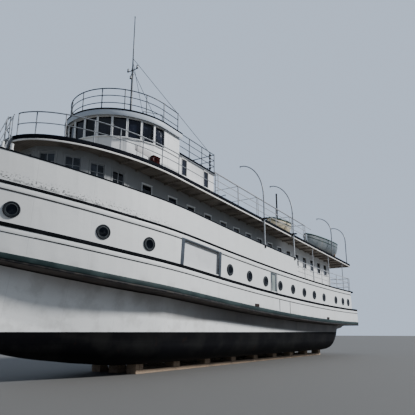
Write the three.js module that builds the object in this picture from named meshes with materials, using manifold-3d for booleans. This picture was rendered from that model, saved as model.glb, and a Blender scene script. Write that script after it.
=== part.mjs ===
// A small passenger lake steamer standing ashore on timber blocks, as separate named pieces.
// Millimetres. X runs forward to the bow, Y to port and Z up. The origin is on the ground, below
// the middle of the ship.

import * as THREE from "three";
import { mergeVertices } from "three/addons/utils/BufferGeometryUtils.js";
import Module from "manifold-3d";

const kernel = await Module();
kernel.setup();

// Length, breadth and the plan of the side
const STERN_X = -15750;
const STEM_X = 15150;
const SHOULDER_X = 6050;
const HALF_BEAM = 3150;
const STEM_HALF_WIDTH = 40;
const STEM_RAKE = 0.176;

// The sheer, along a line near the middle of the guard
const SHEER_AFT = 2280;
const SHEER_CURVE = 1.78e-6;
const SHEER_BOW_START = 9100;
const SHEER_BOW_RISE = 239;

// Heights above the sheer
const STRAKE_LOW = -200;
const STRAKE_TOP = 60;
const LOWER_STRIPE = 1000;
const PASSENGER_DECK = 2360;
const BULWARK_TOP = 3400;

// Thicknesses, and the space left between neighbours
const GAP = 0.3;
const RUNNING_GAP = 8;
const WALL = 60;
const DECK = 120;
const BULWARK = 50;
const DOOR = 45;

// Hull under the guard
const KEEL_Z = 370;
const BOOT_TOP_Z = 1600;

// Boat deck: a straight line, lower aft, with an elliptical nose
const BOAT_DECK = { shoulder: 7100, nose: 12950, noseZ: 8300, aft: -15000, half: 3075, thickness: 150 };
const BOAT_DECK_SLOPE = 0.054;

// Main-deck house and its doors
const HOUSE_AFT_X = -14450;
const BOW_JOINT_X = 11100;
const GANGWAY = { aft: 4170, fore: 6800, sill: 1060, head: 2080, lap: 70, heightLap: 60 };
const SIDE_DOOR = { aft: -1550, fore: -950, sill: 1060, head: 2040 };
const STERN_DOOR = { inner: 1950, outer: 2750, sill: 120, head: 2000 };
const BULWARK_AFT_X = -4450;

// Passenger cabin
const CABIN = { half: 2050, aft: -13200, joint: 8900, shoulder: 9100, nose: 12300, nosePanes: 9 };
const CABIN_WINDOW = { sill: 1050, head: 1800, width: 560 };
const CABIN_WINDOW_XS = [
  -12200, -10900, -9600, -8300, -7000, -5700, -4400, -3100, -1800, -500, 800, 2100, 3500, 4900, 6270, 7960,
];

// Pilothouse and the texas house behind it
const PILOT = { aft: 6350, shoulder: 7350, nose: 9980, half: 2450, height: 2230, panes: 13, mullion: 90 };
const PILOT_WINDOW = { sill: 1170, head: 2020 };
const PILOT_DOOR = { aft: 6500, fore: 7150, sill: 60, head: 1850 };
const TEXAS = { aft: 2750, half: 1900, height: 1665 };
const TEXAS_WINDOW = { width: 380, low: 785, high: 1585 };
const TEXAS_WINDOW_XS = [5250, 3450];
const TEXAS_DOOR = { inner: -1100, outer: -450, sill: 60, head: 1540 };
const ROOF = 110;
const ROOF_OVERHANG = 100;

// Rails
const RAIL_SIZE = 34;
const POST_WIDTH = 40;
const ROD_SIDES = 6;
const RAIL_INSET = 55;
const FOOT_CLEARANCE = 3.5;
const RAIL_Y = 3000;
const AFT_RAIL_HEIGHTS = [350, 680, 1000];
const ROOF_RAIL_HEIGHTS = [350, 680, 1000];
const DECK_RAIL_HEIGHTS = [450, 880];
const SIDE_RAIL_HEIGHTS = [350, 700, 1050];

// Davits and lifeboats
const DAVIT_RADIUS = 38;
const DAVIT_SIDES = 6;
const DAVIT_STEPS = 9;
const DAVIT_FOOT_GAP = 12;
const TALL = { y: 3150, straight: 1285, reach: 1450, rise: 2000 };
const SHORT = { y: 2950, straight: 1840, reach: 1050, rise: 1150 };
const DAVITS = [
  // name, x, size, and whether it stands on the bulwark; the others stand on the boat deck
  { name: "davit_1", x: -350, size: TALL, onBulwark: true },
  { name: "davit_2", x: -4150, size: TALL, onBulwark: true },
  { name: "davit_3", x: -11550, size: SHORT, onBulwark: false },
  { name: "davit_4", x: -14750, size: SHORT, onBulwark: false },
];
const LIFEBOATS = [
  // name, middle x and y, finish, and its length, beam, depth and the height of its keel above the deck
  { name: "lifeboat_fore", x: -4150, y: 2230, finish: "cream", size: [2500, 1250, 620, 130] },
  { name: "lifeboat_aft", x: -12050, y: 1950, finish: "bluegrey", size: [5900, 1650, 900, 330] },
];
const LIFEBOAT_SHELL = 45;

// Mast, and the pipe frame for an awning aft of the texas house
const MAST = { x: 7030, radius: 58, capZ: 14100, topRadius: 34, tip: 22, topZ: 17070 };
const AWNING = { y: 2020, height: 1750, fore: 2500, aft: -9900, pipe: 20, post: 22 };
const AWNING_POST_XS = [2500, 500, -1650, -6200, -8500];

// Propeller and rudder
const SHAFT_Z = 950;
const PROPELLER = { x: -14160, radius: 480, hub: 110, blades: 4 };
const RUDDER = { x: -14800, fore: 260, aft: 560, low: 480, high: 1560, thickness: 70, stock: 60, head: 1790 };

// Colours, roughness and metalness
const FINISHES = {
  white: { color: 0xd9d9d4, roughness: 0.6, metalness: 0.0 },
  black: { color: 0x0d0e10, roughness: 0.55, metalness: 0.0 },
  strake: { color: 0x1d2a28, roughness: 0.6, metalness: 0.0 },
  deck: { color: 0x77716a, roughness: 0.8, metalness: 0.0 },
  rail: { color: 0x5d6468, roughness: 0.5, metalness: 0.3 },
  davit: { color: 0xa7adb0, roughness: 0.5, metalness: 0.3 },
  glass: { color: 0x1a2230, roughness: 0.1, metalness: 0.0 },
  timber: { color: 0x6b4f34, roughness: 0.85, metalness: 0.0 },
  cream: { color: 0xd8c9a2, roughness: 0.6, metalness: 0.0 },
  bluegrey: { color: 0x7f8f9d, roughness: 0.6, metalness: 0.0 },
  bronze: { color: 0x8a6a3a, roughness: 0.4, metalness: 0.9 },
  iron: { color: 0x2b2d30, roughness: 0.6, metalness: 0.5 },
};

// Solids

function closedSolid(geometry) {
  const mesh = new kernel.Mesh({
    numProp: 3,
    vertProperties: new Float32Array(geometry.attributes.position.array),
    triVerts: new Uint32Array(geometry.index.array),
  });
  return new kernel.Manifold(mesh);
}

function solidOf(geometry) {
  const bare = geometry.clone();
  bare.deleteAttribute("normal");
  bare.deleteAttribute("uv");
  return closedSolid(mergeVertices(bare, 0.001));
}

function geometryOf(solid) {
  const mesh = solid.getMesh();
  const geometry = new THREE.BufferGeometry();
  geometry.setAttribute("position", new THREE.BufferAttribute(new Float32Array(mesh.vertProperties), 3));
  geometry.setIndex(new THREE.BufferAttribute(new Uint32Array(mesh.triVerts), 1));
  return geometry;
}

function signedVolume(points, triangles) {
  let sum = 0;
  for (const [a, b, c] of triangles) {
    sum += points[a].dot(new THREE.Vector3().crossVectors(points[b], points[c]));
  }
  return sum / 6;
}

// A closed solid through rings of equally many points, with its two ends filled
function loft(rings) {
  const size = rings[0].length;
  const points = rings.flat();
  const triangles = [];
  for (let ring = 0; ring + 1 < rings.length; ring += 1) {
    for (let side = 0; side < size; side += 1) {
      const next = (side + 1) % size;
      const a = ring * size + side;
      const b = ring * size + next;
      triangles.push([a, b, b + size], [a, b + size, a + size]);
    }
  }
  const last = (rings.length - 1) * size;
  for (let side = 1; side + 1 < size; side += 1) {
    triangles.push([0, side + 1, side], [last, last + side, last + side + 1]);
  }
  const outward = signedVolume(points, triangles) > 0;
  const ordered = outward ? triangles : triangles.map(([a, b, c]) => [a, c, b]);
  const geometry = new THREE.BufferGeometry();
  const numbers = points.flatMap((p) => p.toArray());
  geometry.setAttribute("position", new THREE.Float32BufferAttribute(numbers, 3));
  geometry.setIndex(ordered.flat());
  return solidOf(geometry);
}

const vector = (x, y, z) => new THREE.Vector3(x, y, z);

function box(x0, x1, y0, y1, z0, z1) {
  const geometry = new THREE.BoxGeometry(x1 - x0, y1 - y0, z1 - z0);
  geometry.translate((x0 + x1) / 2, (y0 + y1) / 2, (z0 + z1) / 2);
  return solidOf(geometry);
}

function rod(start, end, radius, sides = ROD_SIDES, endRadius = radius) {
  const axis = end.clone().sub(start);
  const geometry = new THREE.CylinderGeometry(endRadius, radius, axis.length(), sides);
  const turn = new THREE.Quaternion().setFromUnitVectors(vector(0, 1, 0), axis.clone().normalize());
  geometry.applyQuaternion(turn);
  const middle = start.clone().add(end).multiplyScalar(0.5);
  geometry.translate(middle.x, middle.y, middle.z);
  return solidOf(geometry);
}

const joined = (solids) => solids.reduce((whole, next) => whole.add(next));
const cut = (solid, tools) => tools.reduce((rest, tool) => rest.subtract(tool), solid);

// The same solid on the starboard side
function mirrored(solid) {
  const geometry = geometryOf(solid);
  geometry.scale(1, -1, 1);
  const index = geometry.index.array;
  for (let face = 0; face < index.length; face += 3) {
    [index[face], index[face + 1]] = [index[face + 1], index[face]];
  }
  return closedSolid(geometry);
}

const steamer = new THREE.Group();

function piece(name, solid, finish) {
  const material = new THREE.MeshStandardMaterial({ ...FINISHES[finish] });
  const mesh = new THREE.Mesh(geometryOf(solid), material);
  mesh.name = name;
  steamer.add(mesh);
}

function pair(name, solid, finish) {
  piece(`${name}_port`, solid, finish);
  piece(`${name}_starboard`, mirrored(solid), finish);
}

// Frames: the places along the ship where its curves are worked out. Between two frames every
// surface is straight, so that pieces which meet keep the same surface.

const AFT_BAYS = 8;
const BOW_BAYS = 14;
const ENTRANCE = STEM_X - SHOULDER_X;

function frameList() {
  const list = [];
  for (let bay = 0; bay < AFT_BAYS; bay += 1) {
    list.push(STERN_X + ((SHOULDER_X - STERN_X) * bay) / AFT_BAYS);
  }
  for (let bay = 0; bay <= BOW_BAYS; bay += 1) {
    list.push(SHOULDER_X + (ENTRANCE * bay) / BOW_BAYS);
  }
  return list;
}

const FRAMES = frameList();
const bowShare = (x) => Math.max(0, (x - SHOULDER_X) / ENTRANCE);

function sheerCurve(x) {
  const bow = Math.max(0, (x - SHEER_BOW_START) / (STEM_X - SHEER_BOW_START));
  return SHEER_AFT + SHEER_CURVE * (x - STERN_X) ** 2 + SHEER_BOW_RISE * bow ** 1.5;
}

function planCurve(x) {
  return Math.max(STEM_HALF_WIDTH, HALF_BEAM * (1 - bowShare(x) ** 2));
}

function straightened(curve, x) {
  const last = FRAMES.length - 2;
  const bay = Math.min(last, Math.max(0, FRAMES.findIndex((frame) => frame > x) - 1));
  const index = x >= FRAMES[FRAMES.length - 1] ? last : bay;
  const [from, to] = [FRAMES[index], FRAMES[index + 1]];
  return curve(from) + ((curve(to) - curve(from)) * (x - from)) / (to - from);
}

const sheer = (x) => straightened(sheerCurve, x);
const halfBreadth = (x) => straightened(planCurve, x);

function framesBetween(aft, fore) {
  return [aft, ...FRAMES.filter((x) => x > aft + 1 && x < fore - 1), fore];
}

// The point of frame x that lies at y, and at a height above the sheer; the stem leans forward
function at(x, y, height) {
  return vector(x + STEM_RAKE * height * bowShare(x), y, sheer(x) + height);
}

// The frame whose leaning section crosses a true x at a height above the sheer
function frameAt(trueX, height) {
  if (trueX <= SHOULDER_X) {
    return trueX;
  }
  return SHOULDER_X + (trueX - SHOULDER_X) / (1 + (STEM_RAKE * height) / ENTRANCE);
}

const deckZ = (trueX, height) => sheer(frameAt(trueX, height)) + height;
const boatDeckZ = (x) => BOAT_DECK.noseZ - BOAT_DECK_SLOPE * (BOAT_DECK.nose - x);

// How much wider than its thickness a bow plate measures across the ship
function slant(x) {
  const slope = (2 * HALF_BEAM * bowShare(x)) / ENTRANCE;
  return Math.hypot(1, slope);
}

function deckSlab(aft, fore, low, high, inset) {
  return loft(
    framesBetween(aft, fore).map((x) => {
      const half = Math.max(halfBreadth(x) - inset * slant(x), STEM_HALF_WIDTH / 2);
      return [at(x, half, low), at(x, half, high), at(x, -half, high), at(x, -half, low)];
    }),
  );
}

function sideStrip(aft, fore, low, high, thickness, inset = 0) {
  return loft(
    framesBetween(aft, fore).map((x) => {
      const outer = halfBreadth(x) - inset * slant(x);
      const inner = outer - thickness * slant(x);
      return [at(x, outer, low), at(x, outer, high), at(x, inner, high), at(x, inner, low)];
    }),
  );
}

function bowStrip(aft, low, high, thickness, inset = 0) {
  const port = sideStrip(aft, STEM_X, low, high, thickness, inset);
  return port.add(mirrored(port));
}

// Blocks under the hull

const SLEEPER_HEIGHT = 150;
const BLOCK_LENGTH = 450;
const BLOCK_PITCH = 2400;
const BLOCK_COUNT = 9;
const BLOCK_AFT_X = -12300;
const BLOCK_WIDTH = 500;
const BILGE_BLOCK_Y = 1000;

// A long sleeper with blocks standing on it, drawn in side view and given its width
function blockRow(y) {
  const shape = new THREE.Shape();
  shape.moveTo(BLOCK_AFT_X, 0);
  for (let block = 0; block < BLOCK_COUNT; block += 1) {
    const x = BLOCK_AFT_X + block * BLOCK_PITCH;
    if (block > 0) {
      shape.lineTo(x, SLEEPER_HEIGHT);
    }
    shape.lineTo(x, KEEL_Z - GAP);
    shape.lineTo(x + BLOCK_LENGTH, KEEL_Z - GAP);
    if (block + 1 < BLOCK_COUNT) {
      shape.lineTo(x + BLOCK_LENGTH, SLEEPER_HEIGHT);
    }
  }
  shape.lineTo(BLOCK_AFT_X + BLOCK_PITCH * (BLOCK_COUNT - 1) + BLOCK_LENGTH, 0);
  const geometry = new THREE.ExtrudeGeometry(shape, { depth: BLOCK_WIDTH, bevelEnabled: false });
  geometry.rotateX(Math.PI / 2);
  geometry.translate(0, y + BLOCK_WIDTH / 2, 0);
  return solidOf(geometry);
}

piece("keel_blocks", blockRow(0), "timber");
pair("bilge_blocks", blockRow(BILGE_BLOCK_Y), "timber");

// Hull

const BILGE_STEPS = 3;
const HULL_STATIONS = [
  // x, keel height, half-breadths of the flat bottom, the side and the top, height of the bilge
  { x: -15350, keel: 1900, flat: 1700, side: 2000, top: 2150, bilge: 120 },
  { x: -13950, keel: 1680, flat: 1650, side: 2100, top: 2250, bilge: 300 },
  { x: -13250, keel: 900, flat: 1500, side: 2200, top: 2300, bilge: 600 },
  { x: -12400, keel: 400, flat: 1400, side: 2250, top: 2350, bilge: 700 },
  { x: -11700, keel: KEEL_Z, flat: 1400, side: 2250, top: 2350, bilge: 700 },
  { x: 6700, keel: KEEL_Z, flat: 1250, side: 2200, top: 2350, bilge: 750 },
  { x: 8000, keel: KEEL_Z, flat: 950, side: 1950, top: 2150, bilge: 800 },
  { x: 10100, keel: 560, flat: 500, side: 1350, top: 1650, bilge: 900 },
  { x: 12100, keel: 850, flat: 180, side: 650, top: 1000, bilge: 1000 },
  { x: 13500, keel: 1300, flat: 70, side: 250, top: 480, bilge: 1000 },
  { x: 14500, keel: 2200, flat: 40, side: 90, top: 170, bilge: 700 },
  { x: 14950, keel: 3000, flat: 30, side: 50, top: 80, bilge: 500 },
];

function stationValue(x, column) {
  const fore = HULL_STATIONS.findIndex((station) => station.x >= x);
  const b = HULL_STATIONS[Math.max(1, fore)];
  const a = HULL_STATIONS[Math.max(1, fore) - 1];
  return a[column] + ((b[column] - a[column]) * (x - a.x)) / (b.x - a.x);
}

function hullSection(x) {
  const columns = ["keel", "flat", "side", "top", "bilge"];
  const [keel, flat, side, top, bilge] = columns.map((column) => stationValue(x, column));
  const port = [vector(x, flat, keel)];
  for (let step = 1; step <= BILGE_STEPS; step += 1) {
    const angle = (Math.PI / 2) * (step / BILGE_STEPS);
    port.push(vector(x, flat + (side - flat) * Math.sin(angle), keel + bilge * (1 - Math.cos(angle))));
  }
  port.push(vector(x, top, deckZ(x, STRAKE_LOW) - GAP));
  const starboard = port.map((p) => vector(p.x, -p.y, p.z)).reverse();
  return [...port, ...starboard];
}

const hullXs = [...HULL_STATIONS.map((station) => station.x), ...FRAMES]
  .filter((x) => x >= HULL_STATIONS[0].x && x <= HULL_STATIONS.at(-1).x)
  .sort((a, b) => a - b);
const wholeHull = loft(hullXs.map(hullSection));
const HULL_REACH = 20000;
const lowSpace = box(-HULL_REACH, HULL_REACH, -HULL_REACH, HULL_REACH, -HULL_REACH, BOOT_TOP_Z);
const highSpace = box(-HULL_REACH, HULL_REACH, -HULL_REACH, HULL_REACH, BOOT_TOP_Z + GAP, HULL_REACH);

// Skeg, sole piece and shaft tube, on the centreline under the counter
const SKEG_HALF = 70;
const SKEG = { aft: -13600, fore: -11900, top: 1500 };
const SOLE = { aft: -15150, fore: -13500, thickness: 80 };
const SHAFT_TUBE = { fore: -12500, gap: 140, radius: 120, sides: 10 };
const skegPlate = box(SKEG.aft, SKEG.fore, -SKEG_HALF, SKEG_HALF, KEEL_Z, SKEG.top);
const solePiece = box(SOLE.aft, SOLE.fore, -SKEG_HALF, SKEG_HALF, KEEL_Z, KEEL_Z + SOLE.thickness);
const shaftTube = rod(
  vector(SHAFT_TUBE.fore, 0, SHAFT_Z),
  vector(PROPELLER.x + SHAFT_TUBE.gap, 0, SHAFT_Z),
  SHAFT_TUBE.radius,
  SHAFT_TUBE.sides,
);

piece("hull_bottom", joined([wholeHull.intersect(lowSpace), skegPlate, solePiece, shaftTube]), "black");
piece("hull_topsides", wholeHull.intersect(highSpace), "white");

// Propeller and rudder

function propeller() {
  const start = vector(PROPELLER.x - 150, 0, SHAFT_Z);
  const end = vector(PROPELLER.x + 130, 0, SHAFT_Z);
  const parts = [rod(start, end, PROPELLER.hub, 12)];
  const bladeLength = PROPELLER.radius - PROPELLER.hub / 2;
  for (let blade = 0; blade < PROPELLER.blades; blade += 1) {
    const shape = new THREE.Shape();
    shape.moveTo(-70, 0);
    shape.quadraticCurveTo(-230, bladeLength * 0.6, -60, bladeLength);
    shape.lineTo(60, bladeLength);
    shape.quadraticCurveTo(230, bladeLength * 0.6, 70, 0);
    const geometry = new THREE.ExtrudeGeometry(shape, { depth: 24, bevelEnabled: false, curveSegments: 4 });
    geometry.translate(0, PROPELLER.hub / 2, -12);
    geometry.rotateX(Math.PI / 2);
    geometry.rotateZ(THREE.MathUtils.degToRad(55));
    geometry.rotateX((Math.PI * 2 * blade) / PROPELLER.blades);
    geometry.translate(PROPELLER.x, 0, SHAFT_Z);
    parts.push(solidOf(geometry));
  }
  return joined(parts);
}

piece("propeller", propeller(), "bronze");

const rudderHalf = RUDDER.thickness / 2;
const rudderBlade = box(
  RUDDER.x - RUDDER.aft,
  RUDDER.x + RUDDER.fore,
  -rudderHalf,
  rudderHalf,
  RUDDER.low,
  RUDDER.high,
);
const rudderStock = rod(vector(RUDDER.x, 0, RUDDER.low), vector(RUDDER.x, 0, RUDDER.head), RUDDER.stock, 10);
piece("rudder", rudderBlade.add(rudderStock), "black");

// Main deck with its guard, and the walls above it

piece("guard_deck", deckSlab(STERN_X, STEM_X, STRAKE_LOW, STRAKE_TOP, 0), "strake");

const WALL_LOW = STRAKE_TOP + GAP;
const WALL_HIGH = PASSENGER_DECK - DECK - GAP;

// A box that follows the sheer, for doorways and door leaves in the straight part of the side
function sheerBox(aft, fore, inner, outer, low, high) {
  return loft(
    framesBetween(aft, fore).map((x) => {
      return [at(x, outer, low), at(x, outer, high), at(x, inner, high), at(x, inner, low)];
    }),
  );
}

const HOLE_INNER = HALF_BEAM - 250;
const HOLE_OUTER = HALF_BEAM + 250;
const gangwayHole = sheerBox(GANGWAY.aft, GANGWAY.fore, HOLE_INNER, HOLE_OUTER, GANGWAY.sill, GANGWAY.head);
const sideDoorHole = sheerBox(
  SIDE_DOOR.aft,
  SIDE_DOOR.fore,
  HOLE_INNER,
  HOLE_OUTER,
  SIDE_DOOR.sill,
  SIDE_DOOR.head,
);
const mainWall = sideStrip(HOUSE_AFT_X, BOW_JOINT_X - GAP, WALL_LOW, WALL_HIGH, WALL);
pair("main_wall", cut(mainWall, [gangwayHole, sideDoorHole]), "white");
piece("main_wall_bow", bowStrip(BOW_JOINT_X, WALL_LOW, WALL_HIGH, WALL), "white");

const crossHalf = HALF_BEAM - WALL - GAP;
const mainWallStern = sheerBox(HOUSE_AFT_X, HOUSE_AFT_X + WALL, -crossHalf, crossHalf, WALL_LOW, WALL_HIGH);
const sternDoorHole = sheerBox(
  HOUSE_AFT_X - 200,
  HOUSE_AFT_X + 200,
  STERN_DOOR.inner,
  STERN_DOOR.outer,
  STERN_DOOR.sill,
  STERN_DOOR.head,
);
piece("main_wall_stern", cut(mainWallStern, [sternDoorHole]), "white");

const sternSide = sheerBox(STERN_X, HOUSE_AFT_X - GAP, HALF_BEAM - WALL, HALF_BEAM, WALL_LOW, LOWER_STRIPE);
const sternEnd = sheerBox(STERN_X, STERN_X + WALL, -HALF_BEAM, HALF_BEAM, WALL_LOW, LOWER_STRIPE);
piece("stern_bulwark", joined([sternSide, mirrored(sternSide), sternEnd]), "white");

// Doors of the main deck
const leafFore = GANGWAY.fore + GANGWAY.lap;
const doorOuter = halfBreadth(leafFore) - WALL * slant(leafFore) - RUNNING_GAP;
const gangwayLeaf = sheerBox(
  GANGWAY.aft - GANGWAY.lap,
  leafFore,
  doorOuter - DOOR,
  doorOuter,
  GANGWAY.sill - GANGWAY.heightLap,
  GANGWAY.head + GANGWAY.heightLap,
);
pair("gangway_door", gangwayLeaf, "white");

const sideLeaf = sheerBox(
  SIDE_DOOR.aft + RUNNING_GAP,
  SIDE_DOOR.fore - RUNNING_GAP,
  HALF_BEAM - DOOR,
  HALF_BEAM,
  SIDE_DOOR.sill + RUNNING_GAP,
  SIDE_DOOR.head - RUNNING_GAP,
);
pair("side_door", sideLeaf, "white");

// Engine, as one plain block low in the hull house
const ENGINE = { aft: -8100, fore: -5100, half: 1100, top: 3900 };
const engineFoot = deckZ(ENGINE.fore, STRAKE_TOP) + GAP;
const engine = box(ENGINE.aft, ENGINE.fore, -ENGINE.half, ENGINE.half, engineFoot, ENGINE.top);
piece("engine_block", engine, "iron");

// Passenger deck, its bulwark and the rails aft of it

const PASSENGER_AFT_X = -15000;
piece("passenger_deck", deckSlab(PASSENGER_AFT_X, STEM_X, PASSENGER_DECK - DECK, PASSENGER_DECK, 0), "deck");

const bulwarkLow = PASSENGER_DECK + GAP;
pair("bulwark", sideStrip(BULWARK_AFT_X, BOW_JOINT_X - GAP, bulwarkLow, BULWARK_TOP, BULWARK), "white");
piece("bulwark_bow", bowStrip(BOW_JOINT_X, bulwarkLow, BULWARK_TOP, BULWARK), "white");

const AFT_RAIL_AFT_X = -14850;
const AFT_RAIL_FORE_X = BULWARK_AFT_X - 120;
const AFT_RAIL_BAYS = 7;
const passengerFoot = (x) => deckZ(x, PASSENGER_DECK) + FOOT_CLEARANCE;
const boatDeckUnder = (x) => boatDeckZ(x) - BOAT_DECK.thickness - GAP;

// A wall along a line of plan points, outer face on the line and the thickness to its left
function wallAlong(points, thickness, lowZ, highZ) {
  const runs = points.slice(1).map(([x, y], index) => {
    const [fromX, fromY] = points[index];
    return new THREE.Vector2(-(y - fromY), x - fromX).normalize();
  });
  const normals = points.map((_, index) => {
    const sides = [runs[index - 1], runs[index]].filter(Boolean);
    const middle = sides.reduce((sum, side) => sum.clone().add(side)).normalize();
    return middle.clone().multiplyScalar(1 / middle.dot(sides[0]));
  });
  return loft(
    points.map(([x, y], index) => {
      const inner = [x + normals[index].x * thickness, y + normals[index].y * thickness];
      return [
        vector(x, y, lowZ(x)),
        vector(x, y, highZ(x)),
        vector(inner[0], inner[1], highZ(inner[0])),
        vector(inner[0], inner[1], lowZ(inner[0])),
      ];
    }),
  );
}

// A fence along plan points: a thin panel with its bays cut out, so that posts and rails are left
function fence(points, footZ, heights, tallPosts = []) {
  const headZ = (x) => footZ(x) + heights.at(-1) + RAIL_SIZE / 2;
  const panel = wallAlong(points, RAIL_SIZE, footZ, headZ);
  const bays = [];
  for (let bay = 0; bay + 1 < points.length; bay += 1) {
    heights.forEach((height, index) => {
      const below = index === 0 ? -2 * RAIL_SIZE : heights[index - 1] + RAIL_SIZE / 2;
      bays.push(bayHole(points[bay], points[bay + 1], footZ, below, height - RAIL_SIZE / 2));
    });
  }
  return joined([cut(panel, bays), ...tallPosts]);
}

function bayHole(from, to, footZ, low, high) {
  const reach = 4 * RAIL_SIZE;
  const along = new THREE.Vector2(to[0] - from[0], to[1] - from[1]).normalize();
  const ends = [
    [from[0] + (along.x * POST_WIDTH) / 2, from[1] + (along.y * POST_WIDTH) / 2],
    [to[0] - (along.x * POST_WIDTH) / 2, to[1] - (along.y * POST_WIDTH) / 2],
  ];
  return loft(
    ends.map(([x, y]) => {
      const [left, right] = [reach, -reach].map((side) => [x - along.y * side, y + along.x * side]);
      return [
        vector(left[0], left[1], footZ(x) + low),
        vector(left[0], left[1], footZ(x) + high),
        vector(right[0], right[1], footZ(x) + high),
        vector(right[0], right[1], footZ(x) + low),
      ];
    }),
  );
}

// A rounded nose in plan: a quarter of an ellipse on the port side, and its mirror image
function nosePoint(shoulderX, tipX, half, angle) {
  return [shoulderX + (tipX - shoulderX) * Math.sin(angle), half * Math.cos(angle)];
}

// Points at equal steps round the nose, from the port shoulder to the starboard shoulder
const NOSE_DETAIL = 1440;

function noseLine(shoulderX, tipX, half, steps) {
  const fine = Array.from({ length: NOSE_DETAIL + 1 }, (_, index) => {
    return nosePoint(shoulderX, tipX, half, (Math.PI * index) / NOSE_DETAIL);
  });
  const run = [0];
  fine.slice(1).forEach(([x, y], index) => {
    run.push(run[index] + Math.hypot(x - fine[index][0], y - fine[index][1]));
  });
  const port = Array.from({ length: Math.ceil((steps + 1) / 2) }, (_, step) => {
    const target = (run.at(-1) * step) / steps;
    return fine[run.findIndex((length) => length >= target - 1e-6)];
  });
  const mirror = port.map(([x, y]) => [x, -y]).reverse();
  return [...port, ...(steps % 2 === 0 ? mirror.slice(1) : mirror)];
}

// A window hole in the wall between two plan points
function windowHole(from, to, width, lowZ, highZ, along = 0.5) {
  const run = Math.hypot(to[0] - from[0], to[1] - from[1]);
  const x = from[0] + (to[0] - from[0]) * along;
  const y = from[1] + (to[1] - from[1]) * along;
  const geometry = new THREE.BoxGeometry(width, 400, highZ - lowZ);
  geometry.rotateZ(Math.atan2((to[1] - from[1]) / run, (to[0] - from[0]) / run));
  geometry.translate(x, y, (lowZ + highZ) / 2);
  return solidOf(geometry);
}

const aftRailPoints = Array.from({ length: AFT_RAIL_BAYS + 1 }, (_, index) => {
  const x = AFT_RAIL_FORE_X + ((AFT_RAIL_AFT_X - AFT_RAIL_FORE_X) * index) / AFT_RAIL_BAYS;
  return [x, RAIL_Y];
});
const TALL_POST_RADIUS = 28;
const tallPosts = aftRailPoints
  .filter(([x], index) => index % 2 === 0 && x > BOAT_DECK.aft)
  .map(([x, y]) => {
    const middleY = y - RAIL_SIZE / 2;
    const head = vector(x, middleY, boatDeckUnder(x) - FOOT_CLEARANCE);
    return rod(vector(x, middleY, passengerFoot(x)), head, TALL_POST_RADIUS);
  });
pair("aft_rail", fence(aftRailPoints, passengerFoot, AFT_RAIL_HEIGHTS, tallPosts), "rail");

const STERN_RAIL_POSTS = 5;
const sternRailPoints = Array.from({ length: STERN_RAIL_POSTS }, (_, index) => {
  const y = RAIL_Y - 100 - ((2 * RAIL_Y - 200) * index) / (STERN_RAIL_POSTS - 1);
  return [AFT_RAIL_AFT_X, y];
});
piece("stern_rail", fence(sternRailPoints, passengerFoot, AFT_RAIL_HEIGHTS), "rail");

// Passenger cabin

const cabinLow = (x) => deckZ(x, PASSENGER_DECK) + GAP;
const cabinHigh = (x) => boatDeckUnder(x);

function cabinHole(from, to) {
  const low = cabinLow((from[0] + to[0]) / 2);
  return windowHole(from, to, CABIN_WINDOW.width, low + CABIN_WINDOW.sill, low + CABIN_WINDOW.head);
}

const cabinFrames = framesBetween(CABIN.aft, CABIN.joint - GAP).map((x) => [x, CABIN.half]);
const cabinHoles = CABIN_WINDOW_XS.map((x) => cabinHole([x - 100, CABIN.half], [x + 100, CABIN.half]));
const cabinSide = wallAlong(cabinFrames, -WALL, cabinLow, cabinHigh);
pair("cabin_wall", cut(cabinSide, cabinHoles), "white");

const cabinNose = noseLine(CABIN.shoulder, CABIN.nose, CABIN.half, CABIN.nosePanes);

function withFrameCrossings(points, height) {
  const crossings = FRAMES.map((x) => x + STEM_RAKE * height * bowShare(x));
  const list = [points[0]];
  for (let index = 1; index < points.length; index += 1) {
    const [from, to] = [points[index - 1], points[index]];
    const inside = crossings
      .filter((x) => (x - from[0]) * (x - to[0]) < -100)
      .sort((a, b) => (a - b) * Math.sign(to[0] - from[0]));
    for (const x of inside) {
      list.push([x, from[1] + ((to[1] - from[1]) * (x - from[0])) / (to[0] - from[0])]);
    }
    list.push(to);
  }
  return list;
}

const noseLow = (x) => cabinLow(x) + 12;
const cabinFrontHoles = cabinNose.slice(1).map((to, index) => cabinHole(cabinNose[index], to));
const cabinFrontLine = [[CABIN.joint, CABIN.half], ...cabinNose, [CABIN.joint, -CABIN.half]];
const cabinFront = wallAlong(withFrameCrossings(cabinFrontLine, PASSENGER_DECK), -WALL, noseLow, cabinHigh);
piece("cabin_front", cut(cabinFront, cabinFrontHoles), "white");

const cabinBackHalf = CABIN.half - WALL - GAP;
const cabinBackX = CABIN.aft + 2;
const cabinBack = wallAlong(
  [
    [cabinBackX, cabinBackHalf],
    [cabinBackX, -cabinBackHalf],
  ],
  WALL,
  cabinLow,
  cabinHigh,
);
const CABIN_DOOR = { half: 400, sill: 60, head: 1800 };
const cabinBackDoor = box(
  CABIN.aft - 300,
  CABIN.aft + 300,
  -CABIN_DOOR.half,
  CABIN_DOOR.half,
  cabinLow(CABIN.aft) + CABIN_DOOR.sill,
  cabinLow(CABIN.aft) + CABIN_DOOR.head,
);
piece("cabin_back", cut(cabinBack, [cabinBackDoor]), "white");

// Boat deck

const BOAT_DECK_NOSE_STEPS = 26;
const boatNose = noseLine(BOAT_DECK.shoulder, BOAT_DECK.nose, BOAT_DECK.half, BOAT_DECK_NOSE_STEPS);

// A slab between two heights over a symmetric plan line, which starts at its port end
function slabOver(points, lowZ, highZ) {
  const port = points.filter(([, y]) => y >= 0);
  return loft(
    port.map(([x, y]) => {
      const width = Math.max(y, 20);
      const [low, high] = [lowZ(x), highZ(x)];
      return [vector(x, width, low), vector(x, width, high), vector(x, -width, high), vector(x, -width, low)];
    }),
  );
}

const boatDeckLine = [[BOAT_DECK.aft, BOAT_DECK.half], ...boatNose];
piece("boat_deck", slabOver(boatDeckLine, (x) => boatDeckZ(x) - BOAT_DECK.thickness, boatDeckZ), "deck");

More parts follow.
